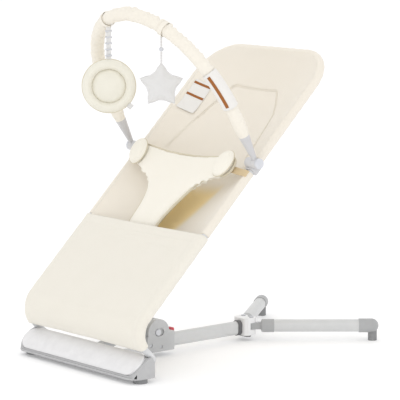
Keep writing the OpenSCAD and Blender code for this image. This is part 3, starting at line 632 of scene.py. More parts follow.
# The CAD nodes that take each finish; a star stands for left and right
FINISH_NODES = {
    "grey_shell": "base_shell base_plate",
    "white_shell": "base_cover",
    "rubber": "base_feet arm_foot_*",
    "steel": "base_screws hinge_nut housing_screws arm_pins lock_spring hinge_disc",
    "tube": "spine_bar cross_tube lower_bend_* foot_bend_* side_tube_* top_bow toy_bar_tube",
    "hinge_grey": "housing_* frame_bracket",
    "pin_grey": "hinge_bolt bracket_rivet clamp_pins",
    "aluminium": "strut_tube arm_tube_*",
    # The strut ring's dark colour is painted shadow for the gap at the rear hub; the hub pad takes the same dark grey.
    "black_grey": "strut_ring hub_pad",
    "hub_white": "rear_hub",
    "red": "lock_slide",
    "dark_grey": "arm_knuckle_* arm_collar_* arm_cap_*",
    "sling": "sling",
    "apron": "apron",
    "bib": "harness_bib harness_buttons",
    "tab": "harness_tabs",
    "label": "care_label bar_label",
    "end_grey": "bar_clamp_* bar_connector_*",
    "sleeve": "bar_sleeve",
    "toy": "disc_toy",
    "ribbon": "disc_strap star_cord",
    "star": "star_toy",
}


def colour_property(label, what, value):
    return bpy.props.FloatVectorProperty(
        name=label, description=what, subtype="COLOR", size=3, min=0.0, max=1.0, default=value
    )


def length_property(label, what, value, low=0.0, high=1.0):
    return bpy.props.FloatProperty(
        name=label, description=what, default=value, min=low, max=high, subtype="DISTANCE", unit="LENGTH"
    )


class BouncerColours(bpy.types.PropertyGroup):
    cream: colour_property("Cream", "Colour of the sling", srgb(243, 237, 226))
    cream_shade: colour_property("Cream shade", "Colour between the sling's threads", srgb(235, 227, 213))
    # Painted light: a warm gold standing in for light glowing through the shaded pocket cloth, not a colour of the
    # cloth itself.
    lining: colour_property("Painted_pocket_glow", "Colour of the seat pocket's lining", srgb(246, 224, 170))
    apron_cream: colour_property("Apron", "Colour of the front apron", srgb(242, 238, 229))
    apron_shade: colour_property("Apron shade", "Colour between the apron's threads", srgb(230, 225, 212))
    bib_cream: colour_property("Bib", "Colour of the harness bib", srgb(251, 248, 239))
    bib_shade: colour_property("Bib shade", "Colour between the bib's threads", srgb(240, 234, 220))
    sleeve_cream: colour_property("Sleeve", "Colour of the toy bar's sleeve", srgb(250, 246, 236))
    white_plastic: colour_property("White plastic", "Colour of the base cover", srgb(222, 221, 222))


class BouncerSizes(bpy.types.PropertyGroup):
    cloth_thickness: length_property("Cloth", "Thickness of the sling and apron", 0.0016, 0.0008, 0.003)
    bib_thickness: length_property("Bib", "Thickness of the padded bib", 0.011, 0.005, 0.016)
    ruche_depth: length_property("Ruche", "Depth of the sleeve's gathers", 0.0030, 0.0, 0.005)
    disc_thickness: length_property("Round toy", "Thickness of the round toy", 0.026, 0.01, 0.04)
    star_thickness: length_property("Star", "Thickness of the star", 0.030, 0.01, 0.04)


def colours():
    return bpy.context.scene.bouncer_colours


def sizes():
    return bpy.context.scene.bouncer_sizes


# Name, place, width and power of each lamp
LAMPS = (
    ("Key light", (1.6, -2.4, 2.6), 2.2, 11.0),
    ("Fill light", (3.4, 0.6, 1.6), 2.4, 3.0),
    ("Back light", (-2.2, 1.8, 2.4), 2.2, 5.0),
)
LAMP_TARGET = Vector((0.0, 0.0, 0.3))
CAMERA_LENS = 200.34
CAMERA_PLACE = (3.326, -2.506 + FRONT_Y, 0.926)
CAMERA_BACK = Vector((0.7581, -0.6361, 0.1435))
CAMERA_RIGHT = Vector((0.6428, 0.7660, 0.0))


class BOUNCER_OT_stage(bpy.types.Operator):
    """Makes the pale floor, the soft light and the camera"""

    bl_idname = "bouncer.stage"
    bl_label = "Stage"

    def execute(self, context):
        scene = context.scene
        scene.view_settings.view_transform = "Standard"
        world = bpy.data.worlds.new("Studio")
        scene.world = world
        world.use_nodes = True
        sky = world.node_tree.nodes["Background"]
        sky.inputs["Color"].default_value = (1.0, 1.0, 1.0, 1.0)
        sky.inputs["Strength"].default_value = 1.0
        floor_material, tree, shader = base_material("Studio floor")
        surface = place_group(tree, grain_group(), Scale=6.0)
        floor_colour = mix_colour(tree, surface.outputs["Cloud"], (0.94, 0.94, 0.945), (0.925, 0.925, 0.93))
        tree.links.new(floor_colour, shader.inputs["Base Color"])
        shader.inputs["Roughness"].default_value = 0.9
        shader.inputs["Specular IOR Level"].default_value = 0.1
        shader.inputs["Emission Color"].default_value = (1.0, 1.0, 1.0, 1.0)
        shader.inputs["Emission Strength"].default_value = 0.12

        floor_mesh = bmesh.new()
        bmesh.ops.create_grid(floor_mesh, x_segments=1, y_segments=1, size=30.0)
        floor = finish_mesh("studio_floor", floor_mesh, floor_material, None)
        for name, place, size, power in LAMPS:
            light = bpy.data.lights.new(name, "AREA")
            light.shape = "DISK"
            light.size = size
            light.energy = power
            lamp = bpy.data.objects.new(name, light)
            lamp.location = place
            lamp.rotation_euler = (LAMP_TARGET - Vector(place)).to_track_quat("-Z", "Y").to_euler()
            scene.collection.objects.link(lamp)
        camera_data = bpy.data.cameras.new("Camera")
        camera_data.lens = CAMERA_LENS
        camera_data.sensor_width = 36.0
        camera_data.clip_start = 0.1
        camera_data.clip_end = 60.0
        camera = bpy.data.objects.new("Camera", camera_data)
        camera.location = CAMERA_PLACE
        back, right = CAMERA_BACK.normalized(), CAMERA_RIGHT.normalized()
        axes = Matrix((right, back.cross(right), back)).transposed()
        camera.rotation_euler = axes.to_euler()
        scene.collection.objects.link(camera)
        scene.camera = camera
        return {"FINISHED"}


class BOUNCER_OT_finishes(bpy.types.Operator):
    """Makes the finishes and gives each moulded and metal part its own"""

    bl_idname = "bouncer.finishes"
    bl_label = "Finishes"

    def execute(self, context):
        make_finishes(colours())
        for finish, names in FINISH_NODES.items():
            for name in names.split():
                for node in sorted({name.replace("*", side) for side in ("left", "right")}):
                    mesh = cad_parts[node].data
                    mesh.materials.clear()
                    mesh.materials.append(FINISH[finish])
        return {"FINISHED"}


# Sling


PANEL_EDGE = math.radians(32)
PANEL_IN = HEM_R * math.sin(PANEL_EDGE)
PANEL_TOP = HEM_R * math.cos(PANEL_EDGE)
INNER_R = CORNER_R - PANEL_IN
PANEL_END = CORNER_S + INNER_R


def sling_width(s):
    """Half width of the sling's panel, with its cut-outs round the toy bar clamps."""
    if s > CORNER_S:
        return CORNER_X + math.sqrt(max(INNER_R**2 - (s - CORNER_S) ** 2, 0.0))
    notch = 0.0105 * math.exp(-(((s - CLAMP_S) / 0.015) ** 6))
    return TUBE_X - PANEL_IN - notch - (0.004 if s < SLING_START else 0.0) * (1 - soft_step(0.19, 0.2, s))


def sling_height(x, s):
    """Height of the sling's top face above the tube centres."""
    half = sling_width(s)
    share = min(abs(x) / half, 1.0)
    rise = 1.0 - max((s - 0.49) / (PANEL_END - 0.49), 0.0) ** 2.6
    bowl = (1 - share**2.1) * max(rise, 0.0)
    return PANEL_TOP - (SAG + PANEL_TOP - 0.003) * bowl


SEAM_TOP_S = 0.583
SEAM_LEFT = [
    (-0.128, 0.40), (-0.118, 0.46), (-0.103, 0.52), (-0.088, 0.565), (-0.078, SEAM_TOP_S - 0.004), (-0.070, SEAM_TOP_S),
]
SEAM_RIGHT = [(0.044, SEAM_TOP_S), (0.050, SEAM_TOP_S - 0.004), (0.082, 0.523), (0.090, 0.473), (0.100, 0.40)]


def seam_line():
    """The stitched outline of the head panel, from the left side over its top to the right."""
    line = [Vector((x, s, 0)) for x, s in SEAM_LEFT + SEAM_RIGHT]
    fine = []
    for p, q in zip(line, line[1:]):
        steps = max(int((q - p).length / 0.004), 1)
        fine += [p.lerp(q, k / steps) for k in range(steps)]
    return fine + [line[-1]]


def seam_distance(x, s, line):
    return min((x - p.x) ** 2 + (s - p.y) ** 2 for p in line) ** 0.5


class BOUNCER_OT_sling(bpy.types.Operator):
    """Makes the sling: its sagging panel, side hems and stitched seams"""

    bl_idname = "bouncer.sling"
    bl_label = "Sling"

    def execute(self, context):
        line = seam_line()

        def row(v):
            """Distance up the slope, with rows closer together round the top corners."""
            split = 0.74
            if v < split:
                return mix(POCKET_START, CORNER_S, v / split)
            return CORNER_S + INNER_R * math.sin((v - split) / (1 - split) * math.pi / 2)

        def place(u, v):
            s = row(v)
            x = (2 * u - 1) * sling_width(s)
            n = sling_height(x, s)
            dent = 0.0011 * math.exp(-((seam_distance(x, s, line) / 0.0026) ** 2))
            inside = 1 - abs(2 * u - 1) ** 8
            n -= dent * inside
            n += 0.0012 * wobble(Vector((x, s * 0.6, 0)), 0.05, 3.0) * inside
            return slope(x, s, n)

        bm = mapped_grid(160, 230, place, (0.36, 0.55), outward=False)
        panel = finish_mesh("sling_panel", bm, FINISH["sling"], "seat")
        # Mask for the painted pocket glow: gold on the pocket cloth just right of the bib's crotch, standing in for
        # warm light through shaded cloth, fading out above the pocket.
        lining = panel.data.attributes.new("lining", "FLOAT", "POINT")
        values = []
        for vertex in panel.data.vertices:
            local = vertex.co - TOE
            s = local.dot(UP_SLOPE)
            x = vertex.co.x
            right_edge = 0.020 + 0.56 * (s - 0.22)
            reach = soft_step(-0.070, -0.020, x) * (1 - soft_step(right_edge - 0.010, right_edge + 0.016, x))
            values.append(reach * (1 - soft_step(0.310, 0.350, s)))
        lining.data.foreach_set("value", values)
        area = surface_area(panel)
        panel.data.materials.append(FINISH["sling_back"])
        thicken(panel, sizes().cloth_thickness, offset=-1.0, subdivide=0)
        panel.modifiers["Thickness"].material_offset = 1
        panel.modifiers["Thickness"].material_offset_rim = 1

        corner = math.pi / 2 * CORNER_R
        straight = 2 * CORNER_X

        def edge(side_s):
            """Hem line from a point on one side tube round the top bow to the other."""
            run = CORNER_S - side_s
            total = 2 * (run + corner) + straight

            def path(t):
                d = t * total
                mirrored = d > total / 2
                if mirrored:
                    d = total - d
                if d < run:
                    x, s, dx, ds = -TUBE_X, side_s + d, 0.0, 1.0
                elif d < run + corner:
                    a = (d - run) / CORNER_R
                    x, s = -CORNER_X - CORNER_R * math.cos(a), CORNER_S + CORNER_R * math.sin(a)
                    dx, ds = math.sin(a), math.cos(a)
                else:
                    x, s, dx, ds = -CORNER_X + (d - run - corner), SLOPE_LEN, 1.0, 0.0
                if mirrored:
                    x, ds = -x, -ds
                return slope(x, s, 0), (slope(dx, ds, 0) - slope(0, 0, 0)).normalized()

            return path, total

        def hem_radius(angle, t):
            crease = 0.00025 * math.sin(t * 240 + 3 * math.sin(angle * 2))
            seam = 0.0005 * math.exp(-(((angle - 0.62) / 0.12) ** 2))
            return HEM_R + crease - seam

        path, total = edge(CLAMP_S + CLAMP_HALF)
        hem = tube_mesh(path, hem_radius, 24, 420, OFF_SLOPE, (0.052, total))
        for side in (-1, 1):
            low, high = slope(side * TUBE_X, SLING_START, 0), slope(side * TUBE_X, CLAMP_S - CLAMP_HALF, 0)
            lower, length = line_path([low.lerp(high, k / 6) for k in range(7)])
            join_bmesh(hem, tube_mesh(lower, hem_radius, 24, 90, OFF_SLOPE, (0.052, length)))
        hems = finish_mesh("sling_hems", hem, FINISH["sling"], "seat")
        smooth_more(hems, 1)

        seams = empty_mesh()
        for offset in (-0.0016, 0.0016):
            points = []
            for p, q in zip(line, line[1:]):
                across = Vector((-(q - p).y, (q - p).x, 0)).normalized() * offset
                x, s = p.x + across.x, p.y + across.y
                points.append(slope(x, s, sling_height(x, s) + 0.0002))
            join_bmesh(seams, cord_tube(points, 0.00045, OFF_SLOPE, 6, 220))
        stitches = finish_mesh("sling_stitching", seams, FINISH["sleeve"], "seat")
        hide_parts("sling")
        return {"FINISHED"}


class BOUNCER_OT_apron(bpy.types.Operator):
    """Makes the front apron, which runs from its top hem down round the foot bend"""

    bl_idname = "bouncer.apron"
    bl_label = "Apron"

    def execute(self, context):
        bend_len = (BEND_R + HEM_R) * APRON_SWEEP
        total = APRON_LEN + bend_len

        def station(d):
            """Origin and outward normal on the tube centre line, d down from the top hem."""
            if d < APRON_LEN:
                return TOE + (APRON_LEN - d) * UP_SLOPE, OFF_SLOPE
            a = (d - APRON_LEN) / (BEND_R + HEM_R)
            out = Matrix.Rotation(a, 3, "X") @ OFF_SLOPE
            return BEND_CENTRE + BEND_R * out, out

        wrap = math.radians(200)
        wrap_len = HEM_R * wrap
        flat_len = 2 * TUBE_X
        width = 2 * wrap_len + flat_len

        def place(u, v):
            d = v * total
            origin, out = station(d)
            w = u * width
            hem_band = 0.0005 * math.exp(-(((d - 0.020) / 0.0016) ** 2))
            if w < wrap_len or w > wrap_len + flat_len:
                side = -1 if w < wrap_len else 1
                a = (wrap_len - w if side < 0 else w - wrap_len - flat_len) / HEM_R
                r = HEM_R - hem_band + 0.0002 * math.sin(d * 180 + 2 * a)
                return origin + Vector((side * (TUBE_X + r * math.sin(a)), 0, 0)) + r * math.cos(a) * out
            x = w - wrap_len - TUBE_X
            share = abs(x) / TUBE_X
            slack = 1 - share**2.4
            soft = soft_step(0.0, 0.03, d) * (1 - soft_step(total - 0.02, total, d))
            dip = 0.0030 * slack * (0.6 + 0.4 * soft)
            fold = 0.0011 * math.exp(-(((d - 0.036 - 0.012 * (x / TUBE_X)) / 0.010) ** 2)) * slack
            rim = 0.0007 * math.exp(-(((share - 0.93) / 0.02) ** 2))
            swell = 0.0012 * wobble(Vector((x, d * 0.7, 0)), 0.07, 8.0) * slack
            return origin + Vector((x, 0, 0)) + (HEM_R - dip - fold - rim + swell - hem_band) * out

        bm = mapped_grid(220, 160, place, (width, total), outward=False)
        apron = finish_mesh("apron_panel", bm, FINISH["apron"], "seat")
        thicken(apron, sizes().cloth_thickness, offset=-1.0, subdivide=0)
        edges = empty_mesh()
        for d in (0.0, total):
            points = [place(mix(0.03, 0.97, k / 60), d / total) for k in range(61)]
            join_bmesh(edges, cord_tube(points, 0.0011, UP_SLOPE, 8, 200))
        trim = finish_mesh("apron_hems", edges, FINISH["apron"], "seat")
        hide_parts("apron")
        return {"FINISHED"}


# Harness


def on_bib(x, along, height):
    """A point on the bib: x across, along it from behind the apron, height above its back face."""
    c, s = math.cos(BIB_TILT), math.sin(BIB_TILT)
    return slope(x, BIB_START + along * c - height * s, BIB_LOW + along * s + height * c)


BIB_EDGE = [
    (0.0410, -0.004), (0.0405, 0.022), (0.0430, 0.050), (0.0500, 0.080), (0.0640, 0.112), (0.0860, 0.136),
    (0.1130, 0.146), (0.1330, 0.148), (0.1460, 0.158), (0.1490, 0.172), (0.1440, 0.184), (0.1300, 0.190),
    (0.1000, 0.187),
]
BIB_TOP = 0.181


def edge_at(v):
    """A point on the bib's side edge, from the crotch at 0 to the end of its wing at 1."""
    t = v * (len(BIB_EDGE) - 1)
    i = min(int(t), len(BIB_EDGE) - 2)
    f = t - i
    p0 = BIB_EDGE[max(i - 1, 0)]
    p1, p2 = BIB_EDGE[i], BIB_EDGE[i + 1]
    p3 = BIB_EDGE[min(i + 2, len(BIB_EDGE) - 1)]

    def spline(a, b, c, d):
        return 0.5 * (2 * b + (c - a) * f + (2 * a - 5 * b + 4 * c - d) * f * f + (3 * b - a - 3 * c + d) * f**3)

    return spline(p0[0], p1[0], p2[0], p3[0]), spline(p0[1], p1[1], p2[1], p3[1])


def bib_centre(v):
    return mix(-0.004, BIB_TOP, v)


def bib_flat(a, v):
    """Place on the bib's flat outline, a from -1 at the left edge to 1 at the right."""
    x_edge, s_edge = edge_at(v)
    middle = bib_centre(v)
    along = middle + (s_edge - middle) * abs(a) ** 2.2
    return a * x_edge - BIB_LEAN * (1 - soft_step(0.0, 0.125, along)), along


def bib_bow(x):
    """How far the bib dips between its two wings."""
    return -0.004 * (1 - (x / 0.15) ** 2)


def bib_seam(a, v):
    """A point in the middle of the bib's thickness, where its binding is sewn."""
    x, along = bib_flat(a, v)
    return on_bib(x, along, BIB_T / 2 + bib_bow(x))


class BOUNCER_OT_bib(bpy.types.Operator):
    """Makes the padded harness bib and the binding sewn round it"""

    bl_idname = "bouncer.bib"
    bl_label = "Harness bib"

    def execute(self, context):
        thick = sizes().bib_thickness

        def pad(a, v):
            """Half the pad's thickness, which falls away at its edges."""
            ends = (1 - abs(2 * v - 1) ** 14) ** 0.5
            return thick / 2 * max(1 - abs(a) ** 7, 0.0) ** 0.5 * ends

        def place(u, v):
            top = u <= 0.5
            a = -1 + 4 * u if top else 3 - 4 * u
            x, along = bib_flat(a, v)
            half = pad(a, v)
            quilt = 0.0009 * wobble(Vector((x, along, 0)), 0.035, 5.0) * (half / thick * 2)
            crown = 0.75 if top else -0.45
            return on_bib(x, along, BIB_T / 2 + bib_bow(x) + half * crown * 2 / 1.2 + quilt)

        bm = mapped_grid(176, 130, place, (0.5, 0.2))
        pad_piece = finish_mesh("bib_pad", bm, FINISH["bib"], "seat")
        puff(pad_piece, 0.0024, 1.0, 0.0016, calm=6)
        binding = empty_mesh()
        for side in (-1, 1):
            points = [bib_seam(side, k / 120) for k in range(121)]
            join_bmesh(binding, cord_tube(points, 0.0026, OFF_SLOPE, 10, 260))
        points = [bib_seam(-1 + 2 * k / 80, 1.0) for k in range(81)]
        join_bmesh(binding, cord_tube(points, 0.0026, OFF_SLOPE, 10, 220))
        edging = finish_mesh("bib_binding", binding, FINISH["binding"], "seat")
        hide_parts("harness_bib")
        edging.parent = pad_piece
        return {"FINISHED"}


class BOUNCER_OT_buttons(bpy.types.Operator):
    """Makes the two padded buttons and the webbing tabs that hold the bib's wings"""

    bl_idname = "bouncer.buttons"
    bl_label = "Buttons and tabs"

    def execute(self, context):
        half_w, half_l, high = 0.021, 0.029, 0.0155
        for label, side in (("left", -1), ("right", 1)):
            centre_x = side * BUTTON_X
            turn = -side * math.radians(14)

            def place(u, v, centre_x=centre_x, turn=turn):
                angle = 2 * math.pi * u
                polar = math.pi * v
                flat = math.sin(polar) ** 0.62
                x = half_w * flat * math.cos(angle)
                y = half_l * flat * math.sin(angle)
                lift = math.cos(polar)
                z = high * (0.72 * lift if lift > 0 else 0.28 * lift)
                z -= 0.0012 * math.exp(-(((flat - 0.80) / 0.05) ** 2)) * (1 if lift > 0 else 0)
                c, s = math.cos(turn), math.sin(turn)
                return on_bib(centre_x + x * c - y * s, BIB_REACH + x * s + y * c, BIB_T + 0.0065 + z)

            bm = mapped_grid(64, 48, place, (0.12, 0.06))
            pad = finish_mesh("button_pad_" + label, bm, FINISH["bib"], "seat")
            ring = [place(k / 64, 0.5) for k in range(65)]
            piping = cord_tube(ring, 0.0012, OFF_SLOPE, 8, 160)
            rim = finish_mesh("button_piping_" + label, piping, FINISH["binding"], "seat")
            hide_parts("harness_buttons")
            rim.parent = pad

            def strap(u, v, side=side):
                x = mix(TUBE_X + 0.005, BUTTON_X - 0.006, v)
                rise = soft_step(0.25, 0.85, v)
                over = HEM_R + 0.0016 - 0.0030 * (1 - soft_step(0.0, 0.15, v))
                ridge = 0.0003 * math.cos(u * 12.6)
                return slope(side * x, BUTTON_S - 0.001 + 0.015 * (u - 0.5), over + 0.0065 * rise + ridge)

            bm = mapped_grid(10, 26, strap, (0.015, 0.056), outward=False)
            tab = finish_mesh("webbing_tab_" + label, bm, FINISH["tab"], "seat")
            thicken(tab, 0.0018, offset=0.0, subdivide=1)
            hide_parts("harness_tabs")
        return {"FINISHED"}


class BOUNCER_OT_care_label(bpy.types.Operator):
    """Makes the plain care label sewn to the sling, with its two bands"""

    bl_idname = "bouncer.care_label"
    bl_label = "Care label"

    def execute(self, context):
        x0, x1, s0, s1 = -0.160, -0.122, 0.490, 0.566

        def place(u, v):
            x, s = mix(x0, x1, u), mix(s0, s1, v)
            curl = 0.0016 * (1 - soft_step(0.0, 0.2, v)) + 0.0006 * wobble(Vector((x, s, 0)), 0.02, 2.0)
            return slope(x, s, sling_height(x, s) + 0.0013 + curl)

        bm = mapped_grid(16, 28, place, (0.038, 0.076), outward=False)
        label = finish_mesh("care_label_cloth", bm, FINISH["label"], "seat")
        thicken(label, 0.0005, offset=1.0, subdivide=1)
        for k, (v0, v1) in enumerate(((0.86, 0.93), (0.47, 0.54))):

            def band(u, v, v0=v0, v1=v1):
                return place(mix(0.02, 0.98, u), mix(v0, v1, v)) + 0.0009 * OFF_SLOPE

            bm = mapped_grid(16, 3, band, (0.038, 0.006), outward=False)
            piece = finish_mesh("care_label_band_%d" % (k + 1), bm, FINISH["band"], "seat")
            thicken(piece, 0.0002, offset=1.0, subdivide=0)
        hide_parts("care_label")
        return {"FINISHED"}


# Toy bar


OUTWARD_OF_BAR = (arch(0.0, 0.0, -1.0) - PIVOT).normalized()
LABEL_FACE = math.radians(-38)


class BOUNCER_OT_toy_bar(bpy.types.Operator):
    """Makes the ruched sleeve of the toy bar and its plain sewn label"""

    bl_idname = "bouncer.toy_bar"
    bl_label = "Toy bar"

    def execute(self, context):
        depth = sizes().ruche_depth
        start, end = CONNECTOR_LEN - 0.002, ARCH_LEN - CONNECTOR_LEN + 0.002

        def path(t):
            return arch_path(mix(start, end, t))

        def ruche(angle, t):
            d = mix(start, end, t)
            inner = 0.5 - 0.5 * math.cos(angle)
            ends = soft_step(0.0, 0.018, d - start) * soft_step(0.0, 0.018, end - d)
            calm = 0.35 + 0.65 * soft_step(0.10, 0.20, d - start) * soft_step(0.16, 0.28, end - d)
            jitter = 9 * wobble(Vector((d, 0.3, 0)), 0.05, 1.0)
            strength = 0.55 + 1.1 * wobble(Vector((d, 0.7, 0)), 0.028, 2.0)
            gather = strength * math.sin(d / 0.0125 * 2 * math.pi + jitter + 0.5 * math.sin(angle))
            fold = 1.3 * wobble(Vector((d * 2.0, math.cos(angle) * 0.014, math.sin(angle) * 0.014)), 0.012, 4.0)
            body = SLEEVE_R - 0.0004 - (1 - ends) * 0.0024
            return body + depth * calm * ends * (0.8 * gather * inner**1.6 + fold * (0.30 + 0.70 * inner))

        bm = tube_mesh(path, ruche, 56, 720, OUTWARD_OF_BAR, (0.08, end - start))
        sleeve = finish_mesh("bar_sleeve_cloth", bm, FINISH["sleeve"], "toy_bar")
        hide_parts("bar_sleeve")

        label_mid = ARCH_LEN - LEG_H - ARCH_SIDE_R * math.radians(14)
        label_half = ARCH_SIDE_R * math.radians(9.4)

        def wrap(u, v, lift=0.0020, half=label_half, spread=math.radians(205), turn=0.0):
            point, direction = arch_path(mix(label_mid - half, label_mid + half, v))
            a, b = frame_along(direction, OUTWARD_OF_BAR)
            angle = LABEL_FACE + turn + (u - 0.5) * spread
            r = SLEEVE_R + lift
            return point + r * (math.cos(angle) * a + math.sin(angle) * b)

        bm = mapped_grid(28, 26, wrap, (0.052, 0.077), outward=False)
        label = finish_mesh("bar_label_cloth", bm, FINISH["label"], "toy_bar")
        thicken(label, 0.0005, offset=0.0, subdivide=1)

        def stripe(u, v):
            return wrap(u, v, lift=0.0027, half=label_half * 0.86, spread=math.radians(24), turn=math.radians(4))

        bm = mapped_grid(6, 24, stripe, (0.006, 0.06), outward=False)
        band = finish_mesh("bar_label_band", bm, FINISH["band"], "toy_bar")
        thicken(band, 0.0002, offset=0.0, subdivide=0)
        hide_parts("bar_label")
        return {"FINISHED"}


def hanging_ring(name, x, width, material, body):
    """The loop of ribbon round the sleeve from which a toy hangs."""
    tilt = x / ARCH_TOP_R * math.cos(BAR_LEAN)
    shifted = x + (SLEEVE_R + 0.0005) * tilt / math.sqrt(1 - tilt**2)
    centre = bar_point(shifted)
    direction = (arch(math.cos(math.asin(shifted / ARCH_TOP_R)), -shifted / ARCH_TOP_R) - PIVOT).normalized()
    a, b = frame_along(direction, Vector((0, 0, 1)))

    def place(u, v):
        angle = 2 * math.pi * u
        r = SLEEVE_R + 0.0017
        return centre + direction * width * (v - 0.5) + r * (math.cos(angle) * a + math.sin(angle) * b)

    ring = finish_mesh(name, mapped_grid(48, 4, place, (0.09, width)), material, body)
    thicken(ring, 0.0011, offset=0.0, subdivide=1)
    return ring


class BOUNCER_OT_round_toy(bpy.types.Operator):
    """Makes the round toy, its stitched ring and the strap that it hangs from"""

    bl_idname = "bouncer.round_toy"
    bl_label = "Round toy"

    def execute(self, context):
        centre = bar_point(DISC_X) - Vector((0, 0, DISC_DROP))
        right, face, up = FACE_AXES
        outer, inner = 0.0515, 0.0325
        thick = sizes().disc_thickness

        def height(r):
            if r > inner:
                t = (r - (outer + inner) / 2) / ((outer - inner) / 2)
                return thick / 2 * max(1 - abs(t) ** 2.6, 0.0) ** 0.5 + 0.0018 * (1 - abs(t))
            return thick * 0.40 * max(1 - (r / inner) ** 3.2, 0.0) ** 0.5 + 0.0012

        def place(u, v):
            angle = 2 * math.pi * u
            side = 1 if v < 0.5 else -1
            w = 2 * v if v < 0.5 else 2 - 2 * v
            r = outer * math.sin(w * math.pi / 2)
            pucker = 0.0005 * math.sin(angle * 34) * math.exp(-(((r - inner) / 0.004) ** 2))
            pucker += 0.0004 * math.sin(angle * 46) * math.exp(-(((r - outer) / 0.006) ** 2))
            h = (height(r) + pucker) * (0.0 if r > outer - 1e-9 else 1.0)
            soft = 0.0006 * wobble(Vector((r * math.cos(angle), r * math.sin(angle), side * 0.02)), 0.016, 6.0)
            r += soft
            return centre + r * spoke(angle) + side * h * face

        bm = mapped_grid(180, 110, place, (0.3, 0.15))
        toy = finish_mesh("round_toy_pad", bm, FINISH["toy"], "round_toy")
        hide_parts("disc_toy")
        stitching = empty_mesh()
        for side in (1, -1):
            ring = [centre + inner * spoke(2 * math.pi * k / 96) + side * 0.0022 * face for k in range(97)]
            join_bmesh(stitching, cord_tube(ring, 0.0011, face, 8, 240))
        piping = [centre + (outer + 0.0003) * spoke(2 * math.pi * k / 128) for k in range(129)]
        join_bmesh(stitching, cord_tube(piping, 0.0011, face, 8, 300))
        seams = finish_mesh("round_toy_piping", stitching, FINISH["toy_ring"], "round_toy")
        seams.parent = toy

        ring = hanging_ring("round_toy_loop", DISC_X, 0.010, FINISH["sleeve"], "round_toy")
        top, bottom = DISC_DROP - SLEEVE_R - 0.0025, outer - 0.001
        width = 0.0100

        def strap(u, v):
            z = mix(bottom, top, v)
            twist = 0.25 * math.sin(v * math.pi)
            side = right * math.cos(twist) + face * math.sin(twist)
            ripple = 0.0007 * math.sin(v * 30)
            return centre + Vector((0, 0, z)) + (u - 0.5) * width * side + ripple * face

        bm = mapped_grid(6, 40, strap, (width, top - bottom), outward=False)
        ribbon = finish_mesh("round_toy_strap", bm, FINISH["ribbon"], "round_toy")
        thicken(ribbon, 0.0014, offset=0.0, subdivide=1)
        links = empty_mesh()
        for k in range(5):
            z = mix(bottom, top, (k + 0.7) / 5.4)
            loop = []
            for j in range(33):
                a = 2 * math.pi * j / 32
                bent = 0.0008 * math.sin(2 * a) * up
                wide, deep = 0.0056 * math.cos(a) * right, 0.0026 * math.sin(a) * face
                loop.append(centre + Vector((0, 0, z)) + wide + deep + bent)
            join_bmesh(links, cord_tube(loop, 0.0013, up, 8, 64))
        rings = finish_mesh("round_toy_rings", links, FINISH["pin_grey"], "round_toy")
        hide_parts("disc_strap")

        def tag(u, v):
            out = (right * 0.72 - up * 0.69).normalized()
            wave = 0.0012 * math.sin(v * 5)
            across = (u - 0.5) * 0.011 * (right * 0.69 + up * 0.72)
            return centre + out * (outer - 0.003 + v * 0.013) + across + wave * face

        bm = mapped_grid(6, 8, tag, (0.011, 0.013), outward=False)
        tab = finish_mesh("round_toy_tag", bm, FINISH["ribbon"], "round_toy")
        thicken(tab, 0.0012, offset=0.0, subdivide=1)
        tab.parent = toy
        ring.parent = toy
        return {"FINISHED"}


